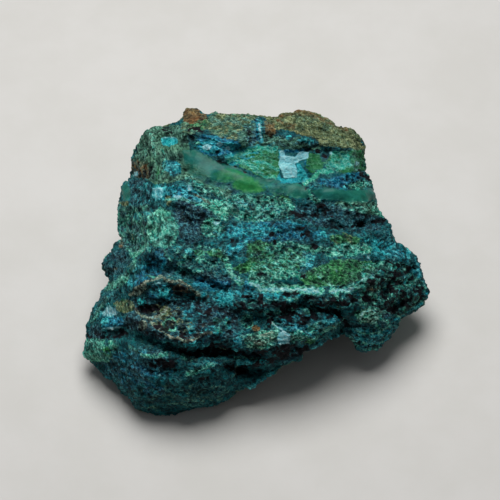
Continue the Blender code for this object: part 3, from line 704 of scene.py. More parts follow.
LOBE_STRIPES = [
    ("arch left", "beige", 1.0, 1.3, [(130, 295), (136, 289), (143, 284), (152, 280), (162, 277)]),
    ("arch right", "beige", 1.0, 1.3, [(162, 277), (167, 281), (176, 281), (186, 284), (194, 290),
     (200, 296)]),
    ("arch right shade", "rust", 0.5, 1.2, [(170, 283), (184, 286), (192, 292)]),
    ("shadow above the arch", "black", 0.8, 1.2, [(140, 283), (152, 277), (160, 274)]),
    # painted shade: black along the inside of the arch's rim, over the recessed pocket
    ("arch inner edge", "black", 0.75, 0.9, [(136, 296), (144, 292), (150, 286)]),
    ("pocket light", "white", 0.6, 1.2, [(152, 285), (157, 283), (161, 284)]),
    ("lower arch", "beige", 0.95, 1.5, [(135, 309), (141, 316), (152, 318), (161, 314), (167, 308)]),
    ("lower arch crest", "white", 0.55, 0.9, [(144, 317), (153, 317)]),
    ("pale stripe", "white", 0.9, 1.1, [(104, 329), (112, 328), (121, 328)]),
    ("ring", "mint", 0.9, 1.0, [(163, 323), (167, 318), (174, 319), (177, 325), (174, 331), (166, 330),
     (163, 325)]),
    ("thin rim 1", "beige", 1.0, 1.1, [(151, 322), (156, 327), (162, 331), (170, 337), (177, 339)]),
    ("thin rim 2", "beige", 1.0, 1.2, [(178, 338), (185, 341), (193, 340), (201, 335), (212, 332)]),
    ("thin rim shade", "rust", 0.6, 0.9, [(180, 336), (186, 338), (193, 337), (200, 332)]),
    ("shadow under rim 1", "black", 0.9, 1.4, [(140, 331), (150, 332), (160, 335), (168, 340)]),
    ("net thread", "mint", 0.55, 0.6, [(141, 341), (145, 348), (152, 347), (157, 339)]),
    ("dark belly spot", "black", 0.72, 2.0, [(168, 343), (176, 346), (184, 350)]),
    ("belly flecks", "mint", 0.9, 1.7, [(143, 355), (150, 357), (158, 356), (167, 354)]),
    ("belly cyan", "cyan", 0.6, 2.4, [(157, 342), (161, 347), (164, 342)]),
    ("undercut lobe flecks", "mint", 0.66, 2.6, [(187, 374), (196, 372), (204, 368), (212, 364)]),
    ("edge flecks", "mint", 0.5, 2.6, [(182, 356), (190, 360), (196, 358)]),
    ("left rim mint", "mint", 0.5, 2.4, [(92, 322), (98, 310), (106, 300)]),
    ("shade above the corner", "black", 0.75, 1.6, [(88, 336), (96, 333), (102, 337)]),
    ("rim of the belly", "cyan", 0.4, 2.6, [(112, 378), (124, 390), (134, 402)]),
]
LOBE_SPOTS = [
    ("teal ball", "cyan", 1.0, (141, 302), (5, 4)),
    ("orange knob", "beige", 1.0, (143, 325), (4.2, 4.2)),
    ("orange knob tint", "rust", 0.9, (144, 325), (2.8, 2.8)),
    ("white speck", "white", 0.9, (159, 376), (2.2, 1.4)),
    ("mint on the belly", "mint", 0.6, (113, 346), (5, 5)),
    ("mint on the belly 2", "mint", 0.4, (134, 350), (5, 4)),
    ("cyan by the knuckle", "cyan", 0.8, (202, 297), (4, 6)),
    ("dark right 1", "black", 0.72, (205, 378), (6, 3)),
    ("dark right 2", "black", 0.72, (228, 366), (6, 5)),
    ("dark pit 1", "black", 0.95, (184, 335), (4, 3)),
    ("dark pit 2", "black", 0.95, (209, 312), (3.4, 3)),
    ("dark pit 3", "black", 0.9, (196, 303), (3, 2.4)),
    ("dark pit 4", "black", 0.9, (174, 303), (3, 2.4)),
    ("dark pit 5", "black", 0.9, (158, 327), (3, 2)),
    ("brown spot", "rust", 0.6, (204, 326), (4, 3)),
    ("pink fleck", "beige", 0.8, (208, 298), (2, 1.6)),
]
add_sketch("front lobe", LOBE_AREAS, LOBE_STRIPES, LOBE_SPOTS)

# %% Sketch of the lower edge, the lip and the right lobe
FOOT_LUMP = [(356, 318), (362, 308), (378, 307), (384, 316), (376, 324), (360, 324)]
LOWER_AREAS = [
    ("pepper below the band", "black", 0.68, [(262, 311), (300, 308), (332, 306), (334, 318),
     (316, 318), (304, 326), (276, 326)]),
    ("cyan in the pepper", "cyan", 0.62, [(276, 306), (320, 304), (338, 308), (336, 322), (300, 330),
     (280, 322)]),
    ("sage lump 1", "sage", 1.0, [(243, 339), (250, 335), (260, 336), (268, 338), (271, 344),
     (262, 350), (249, 347)]),
    ("sage lump 2", "sage", 1.0, [(261, 335), (272, 331), (279, 334), (274, 342), (265, 339)]),
    ("beige on the lumps", "beige", 0.52, [(243, 339), (256, 334), (274, 331), (276, 340), (262, 346)]),
    ("white lump", "white", 0.95, [(277, 338), (279, 333), (285, 331), (291, 335), (290, 344),
     (279, 345)]),
    ("mint on the lumps", "mint", 0.5, [(241, 339), (250, 333), (272, 330), (282, 336), (274, 346),
     (258, 350), (245, 347)]),
    ("mint on the pale lump", "mint", 0.5, [(289, 334), (298, 331), (308, 336), (304, 343), (291, 344)]),
    ("pale lump", "sage", 0.9, [(290, 335), (298, 332), (307, 336), (304, 342), (292, 343)]),
    ("cyan knuckle", "cyan", 1.0, [(308, 326), (318, 321), (324, 328), (321, 336), (312, 338),
     (307, 332)]),
    ("mint on the knuckle", "mint", 0.5, [(308, 324), (320, 320), (328, 328), (322, 338), (310, 338)]),
    ("green on the lip", "green", 0.62, [(306, 337), (318, 338), (312, 345), (304, 344)]),
    # painted shade: black under the overhanging lip, and slate on its underside
    ("under the lip", "black", 0.85, [(270, 349), (288, 344), (300, 347), (309, 344), (308, 352),
     (290, 359), (270, 363), (250, 369), (236, 378), (234, 369), (252, 363), (272, 356)]),
    ("lip underside", "slate", 0.7, [(306, 346), (324, 341), (344, 334), (346, 340), (326, 350),
     (300, 358), (280, 366), (282, 358)]),
    ("ledge 1", "cyan", 0.95, [(273, 353), (285, 348), (297, 347), (291, 356), (278, 359)]),
    ("ledge 2", "cyan", 0.9, [(232, 360), (244, 357), (256, 360), (270, 359), (256, 366), (240, 366)]),
    ("lowest slab", "cyan", 0.62, [(242, 387), (252, 383), (262, 375), (277, 369), (272, 378),
     (256, 389), (244, 393)]),
    ("foot slate", "slate", 0.4, [(340, 318), (390, 312), (398, 330), (384, 350), (362, 354),
     (346, 336)]),
    ("foot lump", "sage", 1.0, FOOT_LUMP),
    ("mint on the foot lump", "mint", 0.6, FOOT_LUMP),
    ("beige on the foot lump", "beige", 0.42, [(358, 317), (363, 308), (378, 308), (380, 317),
     (371, 323), (360, 322)]),
    ("foot teal", "cyan", 0.6, [(346, 328), (392, 328), (384, 348), (362, 350)]),
    ("right lobe teal", "cyan", 0.62, [(380, 252), (412, 256), (426, 284), (428, 300), (398, 318),
     (378, 302)]),
    ("lobe blobs", "black", 0.51, [(372, 262), (396, 257), (420, 278), (426, 298), (400, 317),
     (376, 313), (360, 298)]),
    ("right lobe net", "mint", 0.56, [(362, 264), (396, 258), (426, 284), (424, 302), (398, 318),
     (360, 306)]),
    ("brown on the lobe", "rust", 0.45, [(364, 288), (372, 284), (381, 287), (376, 293), (366, 293)]),
]
LOWER_STRIPES = [
    ("pale ring", "mint", 1.0, 1.6, [(243, 319), (247, 315), (252, 318), (252, 324), (247, 327),
     (243, 323), (243, 319)]),
    ("filament", "white", 0.85, 1.0, [(266, 313), (270, 316), (271, 322), (275, 326), (281, 329),
     (285, 333)]),
    ("filament glow", "mint", 0.9, 1.8, [(268, 315), (272, 323), (278, 330)]),
    ("mint edge of the lumps", "mint", 0.95, 1.1, [(240, 337), (252, 334), (266, 331), (279, 332)]),
    ("mint edge of the pale lump", "mint", 0.95, 1.1, [(290, 334), (298, 331), (308, 336)]),
    # painted shade: black in the crease at the foot of the lumps
    ("lumps foot", "black", 0.95, 1.3, [(246, 350), (262, 352), (276, 347), (288, 344)]),
    ("lip edge mint", "mint", 0.9, 1.3, [(322, 333), (330, 329), (338, 325)]),
    ("lip edge", "cyan", 0.8, 1.5, [(300, 345), (312, 346), (326, 341), (342, 334)]),
    ("lip crest", "olive", 0.6, 1.8, [(324, 330), (334, 326)]),
    ("ledge 2 crest", "mint", 0.7, 1.1, [(234, 358), (246, 357), (258, 360)]),
    ("ledge shadow", "black", 0.95, 1.8, [(234, 352), (250, 354), (264, 354)]),
    # painted shade: black in the crevice between the lip and the foot
    ("foot crease", "black", 0.95, 2.4, [(336, 311), (341, 318), (349, 326)]),
    ("foot lump edge", "white", 0.6, 1.0, [(360, 320), (363, 312), (370, 310), (377, 311)]),
    ("foot ring", "mint", 1.0, 1.3, [(376, 322), (381, 319), (387, 321), (388, 327), (382, 330),
     (377, 327), (376, 322)]),
    ("foot line 1", "mint", 0.8, 1.0, [(354, 330), (366, 334), (382, 332)]),
    ("foot line 2", "mint", 0.8, 1.0, [(348, 336), (362, 343), (376, 344), (390, 335)]),
    ("foot line 3", "mint", 0.8, 1.0, [(354, 345), (366, 349), (380, 347)]),
    ("foot shade 1", "black", 0.8, 0.9, [(350, 333), (364, 339), (378, 339), (388, 334)]),
    ("foot shade 2", "black", 0.8, 0.9, [(352, 341), (364, 346), (378, 346)]),
    ("lobe rim", "cyan", 0.7, 2.4, [(396, 317), (408, 312), (420, 304), (427, 295)]),
    ("lobe shade", "slate", 0.8, 2.0, [(384, 316), (400, 310), (414, 306)]),
]
LOWER_SPOTS = [
    ("rust hollow", "rust", 1.0, (256, 328), (4, 3.4)),
    ("cyan above the hollow", "cyan", 1.0, (257, 320), (4.4, 2.8)),
    ("dark gap", "black", 1.0, (269, 323), (3.2, 5)),
    ("turquoise blob", "cyan", 1.0, (237, 344), (5, 6)),
    ("blue in the blob", "blue", 0.6, (238, 348), (5, 3)),
    ("cyan lump", "cyan", 0.95, (296, 328), (5.4, 3.6)),
    ("cyan dot", "cyan", 0.9, (326, 318), (4.4, 3.2)),
    ("black blob 1", "black", 1.0, (312, 314), (3, 5)),
    ("black blob 2", "black", 1.0, (302, 320), (3, 3)),
    ("black blob 3", "black", 0.9, (288, 318), (2.6, 2.6)),
    ("mint by the foot", "mint", 0.9, (356, 313), (2.4, 3.4)),
    ("pit 1", "black", 1.0, (397, 272), (3.6, 3)),
    ("pit 2", "black", 1.0, (408, 270), (3, 3.4)),
    ("pit 3", "black", 1.0, (388, 287), (3, 2.4)),
    ("pit 4", "black", 1.0, (418, 289), (5.4, 4)),
    ("pit 5", "black", 1.0, (404, 293), (5, 4)),
    ("pit 6", "black", 1.0, (381, 309), (3, 3)),
    ("pit 7", "black", 1.0, (411, 301), (2.6, 3)),
    ("pit 8", "black", 1.0, (387, 303), (3, 3)),
    ("pit 9", "black", 1.0, (393, 309), (5.8, 4)),
    ("pit 10", "black", 1.0, (399, 298), (4.8, 4.2)),
    ("pit 11", "black", 1.0, (401, 304), (3, 2.4)),
    ("pit 12", "black", 0.95, (370, 301), (3, 2.4)),
    ("pit 13", "black", 0.95, (378, 278), (2.6, 2.4)),
    ("pit 14", "black", 0.95, (400, 282), (2.6, 2.4)),
    ("pit 15", "black", 0.95, (386, 262), (2.6, 2.2)),
    ("pit 16", "black", 1.0, (366, 298), (4, 3)),
    ("pit 17", "black", 1.0, (386, 296), (4, 2.6)),
    ("pit 18", "black", 1.0, (412, 279), (3.4, 2.6)),
    ("pit 19", "black", 1.0, (421, 297), (3, 3)),
    ("pit 20", "black", 1.0, (380, 270), (3, 2.4)),
    ("peach fleck", "beige", 1.0, (392, 291), (2.8, 3)),
]
add_sketch("lower edge, the lip and the right lobe", LOWER_AREAS, LOWER_STRIPES, LOWER_SPOTS)

# %% [markdown]
# ## From the sketch to the stone
#
# Every mineral gets one value per point of the skin. A patch counts fully inside and fades
# over a couple of grid steps, and where patches of a mineral overlap the strongest wins. The
# grid places are bent by noise first: a wide bend makes the outlines wander, and a narrow one
# frays them. Near the smallest details the bends are held back, so those stay crisp.

# %% Mineral cover on the display side
MINERALS = ("mint", "cyan", "blue", "slate", "green", "olive", "glass", "lens", "white", "rust",
            "beige", "sage", "black")
EDGE_FADE = 1.9
# how many steps a bend moves a place, and the size of its waves in steps
BENDS = [(1.6, 7.0), (1.0, 2.0)]
BEND_SHIFTS = ((11.3, 2.7, 5.1), (3.9, 17.2, 8.4))
HELD_BACK = 0.8
# name, middle, half size: drawn crisply, and kept at full resolution when the skin is thinned
DETAILS = [
    ("star", (294, 165), (28, 24)),
    ("cluster", (216, 145), (30, 17)),
    ("swirl", (256, 161), (30, 19)),
    ("chip", (169, 141), (14, 9)),
    ("vein", (260, 132), (8, 14)),
    ("block", (112, 322), (18, 14)),
    ("arch", (160, 304), (40, 32)),
    ("rims", (186, 334), (32, 14)),
    ("lumps", (270, 332), (42, 24)),
    ("run", (178, 193), (32, 16)),
    ("foot", (372, 324), (26, 22)),
]


def line_distance(places, line):
    """How far places on the grid are from a line of straight runs."""
    nearest = np.full(len(places), np.inf)
    for start, end in zip(line[:-1], line[1:]):
        start = np.array(start, float)
        run = np.array(end, float) - start
        share = np.clip((places - start) @ run / (run @ run), 0, 1)
        nearest = np.minimum(nearest, np.linalg.norm(places - start - share[:, None] * run, axis=1))
    return nearest


def depth_inside(places, outline):
    """How deep places are inside an outline, and below 0 outside it."""
    closed = outline + outline[:1]
    inside = np.zeros(len(places), bool)
    for (x0, y0), (x1, y1) in zip(closed[:-1], closed[1:]):
        crosses = (y0 > places[:, 1]) != (y1 > places[:, 1])
        if y0 != y1:
            reach = x0 + (places[:, 1] - y0) * (x1 - x0) / (y1 - y0)
            inside ^= crosses & (places[:, 0] < reach)
    return np.where(inside, 1, -1) * line_distance(places, closed)


def lay(mineral, amount, depth, near):
    """Lays a patch on the near points: full where depth is over half the fade."""
    share = amount * smooth_step(-EDGE_FADE / 2, EDGE_FADE / 2, depth)
    cover[mineral][near] = np.maximum(cover[mineral][near], share)


def points_near(outline, margin):
    """The numbers of the points that face the viewer in a box round an outline."""
    low = np.min(outline, axis=0) - margin
    high = np.max(outline, axis=0) + margin
    return np.flatnonzero(((places > low) & (places < high)).all(axis=1) & (facing > 0))


places = on_grid(points)
detail = np.zeros(len(points))
for name, middle, half_size in DETAILS:
    detail = np.maximum(detail, oval_share(places, middle, half_size) * facing)
for bend, size in BENDS:
    held = bend * (1 - HELD_BACK * np.clip(2 * detail, 0, 1))
    for axis, shift in enumerate(BEND_SHIFTS):
        places[:, axis] += held * soft_noise(points_mm, size * STEP / MM, shift)

cover = {mineral: np.zeros(len(points)) for mineral in MINERALS}
for name, mineral, amount, outline in areas:
    near = points_near(outline, EDGE_FADE)
    lay(mineral, amount, depth_inside(places[near], outline), near)
for name, mineral, amount, half_width, line in stripes:
    near = points_near(line, half_width + EDGE_FADE)
    lay(mineral, amount, half_width - line_distance(places[near], line), near)
for name, mineral, amount, middle, half_size in spots:
    near = points_near([middle], max(half_size) + EDGE_FADE)
    depth = (1 - oval_distance(places[near], middle, half_size)) * min(half_size)
    lay(mineral, amount, depth, near)
for mineral in MINERALS:
    cover[mineral] *= facing
print("drawn minerals:", {m: round(float(c.mean()), 3) for m, c in cover.items()})

# %% [markdown]
# ## Layers on the hidden sides
#
# The same layers run right through the rock, so the left side, the back and the underside
# show their edges as bands, under patches of weathered crust. They could be drawn one by one
# like the display side, but nothing there asks for an exact place. A layer is a range of
# heights across the bedding, which tilts 11 degrees on the display side, and noise makes it
# wander.

# %% Layers through the rock
LAYER_TILT = math.radians(11)
LAYER_LEAN = 0.15
LAYER_WANDER = 2.6
LAYER_WAVES = 12.0
LAYER_FADE = 1.6
# from, to (mm across the bedding), mineral, cover
LAYERS = [
    (33, 60, "olive", 0.85),
    (27, 34, "green", 0.45),
    (22, 30, "mint", 0.42),
    (17, 24, "cyan", 0.45),
    (15, 19, "blue", 0.7),
    (8, 16, "mint", 0.45),
    (2, 9, "blue", 0.55),
    (4, 9, "black", 0.45),
    (-5, 4, "green", 0.5),
    (-4, 3, "mint", 0.42),
    (-8, -5, "mint", 0.8),
    (-14, -8, "black", 0.6),
    (-17, -12, "cyan", 0.5),
    (-22, -16, "mint", 0.35),
    (-60, -22, "blue", 0.35),
]
PATCH_SIZE = 9.0
PATCH_SHARE = 0.5
WEATHER_SIZE = 17.0
WEATHER_RANGE = (0.05, 0.45)
OLIVE_WEATHER = 0.75
RUST_WEATHER = 0.5
RUST_FROM = 0.1

across_direction = (
    view_right * math.sin(LAYER_TILT) + view_up * math.cos(LAYER_TILT) + view_back * LAYER_LEAN
)
across = (points_mm - np.array(DISPLAY_MIDDLE) / MM) @ np.array(across_direction)
across += LAYER_WANDER * soft_noise(points_mm, LAYER_WAVES, (7.7, 1.1, 9.2), 3)
hidden = 1 - facing
patchy = soft_noise(points_mm, PATCH_SIZE, (2.2, 6.1, 4.4), 3)
for low, high, mineral, amount in LAYERS:
    band = smooth_step(low - LAYER_FADE, low, across) * (1 - smooth_step(high, high + LAYER_FADE, across))
    cover[mineral] = np.maximum(cover[mineral], hidden * amount * band * (1 + PATCH_SHARE * patchy))
weathered = smooth_step(*WEATHER_RANGE, soft_noise(points_mm, WEATHER_SIZE, (9.1, 3.3, 1.2), 3))
cover["olive"] = np.maximum(cover["olive"], hidden * OLIVE_WEATHER * weathered)
cover["rust"] = np.maximum(cover["rust"], hidden * RUST_WEATHER * weathered * (patchy > RUST_FROM))
print("mm across the bedding:", round(float(across.min())), "to", round(float(across.max())))

# %% [markdown]
# ## Pits
#
# The black tenorite has weathered out in places and left round pits. Each is a small dent
# with a dark inside, so the dent in the mesh and the dark in the paint come from the same
# list of middles. They crowd where the sketch has black, and are few on glass and crust.

# %% Pits
PIT_COUNT = 8500
SMALLEST_PIT = 0.28
LARGEST_PIT = 0.85
PIT_REACH = 1.25
PIT_DARK_RANGE = (0.15, 0.75)
# how much each mineral adds to the crowding of pits, and the crowding on bare ground
PIT_CROWDING = {"black": 0.8, "mint": 0.5, "cyan": 0.35, "blue": 0.2}
LEAST_CROWDING = 0.3
GLASS_FREE = 0.97
OLIVE_FREE = 0.7
DETAIL_FREE = 0.6
CROWDING_POWER = 1.5
dice = random.Random(21)

hard = np.maximum(cover["glass"], cover["lens"])
crowding = np.full(len(points), LEAST_CROWDING)
for mineral, weight in PIT_CROWDING.items():
    crowding += weight * cover[mineral]
crowding *= 1 - GLASS_FREE * np.clip(3 * np.maximum(hard, cover["white"]), 0, 1)
crowding *= (1 - OLIVE_FREE * cover["olive"]) * (1 - DETAIL_FREE * detail)
crowding = np.clip(crowding, 0, None) ** CROWDING_POWER
finder = kdtree.KDTree(len(points))
for index, place in enumerate(points_mm.tolist()):
    finder.insert(place, index)
finder.balance()
picks = dice.choices(range(len(points)), weights=crowding.tolist(), k=PIT_COUNT)
dent = np.zeros(len(points))
dark = np.zeros(len(points))
for pick in picks:
    size_share = dice.random() ** (3 - 2 * cover["black"][pick])
    radius = SMALLEST_PIT + (LARGEST_PIT - SMALLEST_PIT) * size_share
    for _, index, away in finder.find_range(points_mm[pick].tolist(), radius * PIT_REACH):
        share = away / radius
        dent[index] = max(dent[index], radius * max(0.0, 1 - share**2))
        dark[index] = max(dark[index], PIT_REACH - share)
dark = smooth_step(*PIT_DARK_RANGE, dark)
print("pits:", PIT_COUNT, "in mm of radius:", SMALLEST_PIT, "to", LARGEST_PIT)

# %% [markdown]
# ## Relief of the grain
#
# Broken ore is rough at several sizes. Lumps of some millimetres, grit of about one, the walls
# of small burst cells and the edges of thin layers add up to a height along the skin's
# normals, and on the left side the cells are drawn out into fibres. A Displace modifier could
# move the points as well, but here the cover of the minerals also has a say: glass stays
# almost smooth and black lies a little lower. The highest grains are eased back towards the
# solid's top.

# %% Relief
FIBRES_FULL = 170  # grid steps from the left, at the height of FIBRES_LEVEL
FIBRES_END = 200
FIBRES_LEVEL = 150
FIBRES_LEAN = 0.2
ROUND_CELLS = (1.5, 1.1, 1.25)
FIBRE_CELLS = (0.7, 4.0, 0.9)
CELL_BEND = 0.6
CELL_BEND_SIZE = 1.5
WALL_WIDTH = 0.42
WALL_MEAN = 0.45
LUMP_SIZE = 4.5
GRIT_SIZE = 1.3
LAYERS_PER_MM = 0.9
# heights and depths in mm, but PIT_DEPTH is a share of the pit's radius
LUMP_HEIGHT = 0.40
GRIT_HEIGHT = 0.30
WALL_HEIGHT = 0.44
LAYER_HEIGHT = 0.14
PALE_HEIGHT = 0.10
BLACK_DEPTH = 0.2
PIT_DEPTH = 0.5
# how much of the fine grain each smooth mineral takes away
HARD_CALMS = 0.92
WHITE_CALMS = 0.6
RUST_CALMS = 0.8
SOLID_BLACK_FROM = 0.4
FLAT_BASE_TOP = 0.6  # mm above the table
EASED_ABOVE = 44.8  # mm above the table
EASED_SHARE = 0.8

rough = 1 - HARD_CALMS * np.maximum(
    hard, np.maximum(WHITE_CALMS * cover["white"], RUST_CALMS * cover["rust"] ** 4)
)
lumps = soft_noise(points_mm, LUMP_SIZE, (4.4, 8.8, 1.9), 3)
grit = soft_noise(points_mm, GRIT_SIZE, (5.5, 0.3, 2.8), 3)
layer_steps = np.abs(((across * LAYERS_PER_MM) % 1) * 2 - 1) - 0.5
leaned_right = places[:, 0] + FIBRES_LEAN * (places[:, 1] - FIBRES_LEVEL)
fibrous = smooth_step(FIBRES_END, FIBRES_FULL, leaned_right) * facing


def rims(size_mm):
    """1 on the walls of a net of small cells of the given size in mm, 0 inside them."""
    across_view = points_mm @ np.array([view_right, view_up, view_back]).T
    shifts = [(first, 2.2, 7.1) for first in (0.4, 5.3, 9.8)]
    bend = np.stack([soft_noise(points_mm, CELL_BEND_SIZE, shift) for shift in shifts], axis=1)
    net = (across_view + CELL_BEND * bend) / np.array(size_mm)
    gaps = np.array([d[1] - d[0] for d in (noise.voronoi(p)[0] for p in net.tolist())])
    return smooth_step(WALL_WIDTH, 0.0, gaps)


wall = (1 - fibrous) * rims(ROUND_CELLS) + fibrous * rims(FIBRE_CELLS)
fine = GRIT_HEIGHT * grit + WALL_HEIGHT * (wall - WALL_MEAN) + LAYER_HEIGHT * layer_steps
solid_black = np.clip((cover["black"] - SOLID_BLACK_FROM) / (1 - SOLID_BLACK_FROM), 0, 1)
relief_mm = LUMP_HEIGHT * lumps
relief_mm += fine * rough
relief_mm += PALE_HEIGHT * np.maximum(cover["beige"], cover["white"])
relief_mm -= BLACK_DEPTH * solid_black
relief_mm -= PIT_DEPTH * dent
flat_base = points_mm[:, 2] < FLAT_BASE_TOP
relief_mm[flat_base] = np.minimum(relief_mm[flat_base], 0)
carved = points + normals * relief_mm[:, None] * MM
carved[:, 2] = np.maximum(carved[:, 2], 0)
carved[:, 2] -= EASED_SHARE * np.maximum(carved[:, 2] - EASED_ABOVE * MM, 0)
set_points(skin, carved)
print("relief from", round(float(relief_mm.min()), 2), "to", round(float(relief_mm.max()), 2), "mm")

# %% [markdown]
# ## Handing the minerals to the material
#
# The cover values become colour attributes that the material reads. Each holds four values,
# the fourth in its alpha. Then the skin is thinned: collapsing edges keeps the pits and ledges
# and spends fewer faces on smooth stretches, and it carries the attributes along. Here and
# there it folds a sliver flat onto itself, so such twins are deleted and the gaps filled.

# %% Attributes and thinning
MOST_TRIANGLES = 196000
PIT_DARKNESS = 0.85
GRAIN_HALF_RANGE = 0.42
DENT_IN_HEIGHT = 0.3
CRISP_FROM = 0.3
PAINT = {
    "paint_blues": ("mint", "cyan", "blue", "slate"),
    "paint_greens": ("green", "olive", "glass", "lens"),
    "paint_marks": ("white", "rust", "beige", "sage"),
    "paint_shade": ("black", "pit", "fibrous", "height"),
}


def add_paint(piece, name, channels):
    """Keeps four values per point as one colour attribute."""
    layer = piece.data.attributes.new(name, "FLOAT_COLOR", "POINT")
    values = np.ones((len(points), 4), np.float32)
    for column, channel in enumerate(channels):
        values[:, column] = np.clip(channel, 0, 1)
    layer.data.foreach_set("color", values.ravel())


def twin_faces(shell):
    """Faces that share all their corners with another face."""
    by_corners = {}
    for face in shell.faces:
        by_corners.setdefault(frozenset(corner.index for corner in face.verts), []).append(face)
    return [face for same in by_corners.values() if len(same) > 1 for face in same]


height = smooth_step(-GRAIN_HALF_RANGE, GRAIN_HALF_RANGE, fine - DENT_IN_HEIGHT * dent)
painted = dict(cover, black=solid_black, pit=PIT_DARKNESS * dark, fibrous=fibrous, height=height)
for name, kinds in PAINT.items():
    add_paint(skin, name, [painted[kind] for kind in kinds])

may_thin = skin.vertex_groups.new(name="may thin")
may_thin.add(np.flatnonzero(detail < CRISP_FROM).tolist(), 1.0, "REPLACE")
thin = skin.modifiers.new("thin", "DECIMATE")
thin.vertex_group = "may thin"
triangles = sum(len(p.vertices) - 2 for p in skin.data.polygons)
thin.ratio = MOST_TRIANGLES / triangles
apply_modifiers(skin)
print("thinned from", triangles, "triangles")

# %% Closed shell
shell = bmesh.new()
shell.from_mesh(skin.data)
bmesh.ops.triangulate(shell, faces=shell.faces)
while twins := twin_faces(shell):
    bmesh.ops.delete(shell, geom=twins, context="FACES")
bmesh.ops.holes_fill(shell, edges=[e for e in shell.edges if e.is_boundary])
bmesh.ops.triangulate(shell, faces=shell.faces)
for face in shell.faces:
    face.smooth = True
loose = sum(not e.is_manifold for e in shell.edges)
shell.to_mesh(skin.data)
shell.free()
print("stone:", len(skin.data.polygons), "triangles; open or crowded edges:", loose)

# %% [markdown]
# ## Node helpers and the mineral patch group
#
# A mineral never ends in a clean line. The group below takes the cover of a mineral, adds the
# grain of the rock to it, and cuts the sum softly around one half: where cover is high all
# grains turn, where it is low only the strongest do. Inside the patch the colour runs from a
# dark to a light tone of the mineral. A colour ramp per mineral could do this too, but a group
# keeps one way for all of them. It puts out a colour and a mask.


# %% Node helpers
def colour(red, green, blue):
    """A colour as seen on a screen, 0 to 255, made linear for the shader."""
    def linear(value):
        value /= 255
        return value / 12.92 if value <= 0.04045 else ((value + 0.055) / 1.055) ** 2.4
    return (linear(red), linear(green), linear(blue), 1.0)


def add_node(tree, kind, **settings):
    node = tree.nodes.new(kind)
    for key, value in settings.items():
        setattr(node, key, value)
    return node


def math_node(tree, operation, first, second):
    node = add_node(tree, "ShaderNodeMath", operation=operation)
    for socket, value in zip(node.inputs, (first, second)):
        if isinstance(value, (int, float)):
            socket.default_value = value
        else:
            tree.links.new(value, socket)
    return node.outputs[0]


def times(tree, first, second):
    return math_node(tree, "MULTIPLY", first, second)


def rest_of(tree, share):
    return math_node(tree, "SUBTRACT", 1.0, share)


def mix_colour(tree, share, first, second):
    node = add_node(tree, "ShaderNodeMix", data_type="RGBA")
    for socket, value in zip((node.inputs[0], node.inputs[6], node.inputs[7]), (share, first, second)):
        if isinstance(value, (int, float, tuple)):
            socket.default_value = value
        else:
            tree.links.new(value, socket)
    return node.outputs[2]


def remap(tree, value, low, high, out_low=0.0, out_high=1.0, smooth=True):
    node = add_node(tree, "ShaderNodeMapRange", interpolation_type="SMOOTHSTEP" if smooth else "LINEAR")
    tree.links.new(value, node.inputs["Value"])
    for name, number in (("From Min", low), ("From Max", high), ("To Min", out_low), ("To Max", out_high)):
        node.inputs[name].default_value = number
    return node.outputs["Result"]


def noise_node(tree, vector, detail, roughness, scale=1.0):
    node = add_node(tree, "ShaderNodeTexNoise")
    tree.links.new(vector, node.inputs["Vector"])
    node.inputs["Scale"].default_value = scale
    node.inputs["Detail"].default_value = detail
    node.inputs["Roughness"].default_value = roughness
    return node.outputs["Fac"]


# %% Mineral patch group
SOFT_CUT = (0.30, 0.70)
PRESENT_RANGE = (0.0, 0.2)
DARK_TO_MIDDLE = (0.18, 0.50)
MIDDLE_TO_LIGHT = (0.50, 0.84)


def make_patch_group():
    group = bpy.data.node_groups.new("mineral patch", "ShaderNodeTree")
    for name, kind in (
        ("Ground", "NodeSocketColor"), ("Cover", "NodeSocketFloat"), ("Grain", "NodeSocketFloat"),
        ("Tone", "NodeSocketFloat"), ("Dark", "NodeSocketColor"), ("Middle", "NodeSocketColor"),
        ("Light", "NodeSocketColor"), ("Raggedness", "NodeSocketFloat"),
    ):
        group.interface.new_socket(name, in_out="INPUT", socket_type=kind)
    group.interface.new_socket("Color", in_out="OUTPUT", socket_type="NodeSocketColor")
    group.interface.new_socket("Mask", in_out="OUTPUT", socket_type="NodeSocketFloat")
    into = group.nodes.new("NodeGroupInput")
    out = group.nodes.new("NodeGroupOutput")
    centred = math_node(group, "SUBTRACT", into.outputs["Grain"], 0.5)
    ragged = times(group, centred, into.outputs["Raggedness"])
    total = math_node(group, "ADD", ragged, into.outputs["Cover"])
    present = remap(group, into.outputs["Cover"], *PRESENT_RANGE)
    mask = times(group, remap(group, total, *SOFT_CUT), present)
    lower = remap(group, into.outputs["Tone"], *DARK_TO_MIDDLE)
    upper = remap(group, into.outputs["Tone"], *MIDDLE_TO_LIGHT)
    inner = mix_colour(group, lower, into.outputs["Dark"], into.outputs["Middle"])
    inner = mix_colour(group, upper, inner, into.outputs["Light"])
    result = mix_colour(group, mask, into.outputs["Ground"], inner)
    group.links.new(result, out.inputs["Color"])
    group.links.new(mask, out.inputs["Mask"])
    return group


patch_group = make_patch_group()
print("made group:", patch_group.name)

# %% [markdown]
# ## Grain that lies with the rock
#
# The noises are read in the bedding's own directions, so grains lie along the layers, apart
# from the left side, where they run as fibres. A Mapping node of the Texture kind divides the
# place by a size in millimetres, so each noise is set by the size of its grains instead of a
# scale. Four patterns serve the whole stone: wide patches, grains of a millimetre or two, fine
# grains, and the walls of small cells. Each mineral adds a noise of its own later on.

# %% Grain of the rock
LEAN_BACK = math.radians(90) - VIEW_ELEVATION
FIBRE_TILT = math.radians(12)
FIBRES_AT_MOST = 0.85
WIDE_GRAIN = (9, 4, 6)
# round and fibrous sizes in mm
GRAIN = ((1.9, 1.1, 1.5), (0.7, 5.0, 0.9))
FINE_GRAIN = ((0.6, 0.45, 0.55), (0.28, 2.2, 0.4))
CELLS = ((1.2, 0.85, 1.0), (0.6, 3.6, 0.8))
WALL_WIDTHS = (0.16, 0.2)
USUAL_NOISE = (0.32, 0.68)
CELL_WARP = (1.6, 1.6, 1.6)

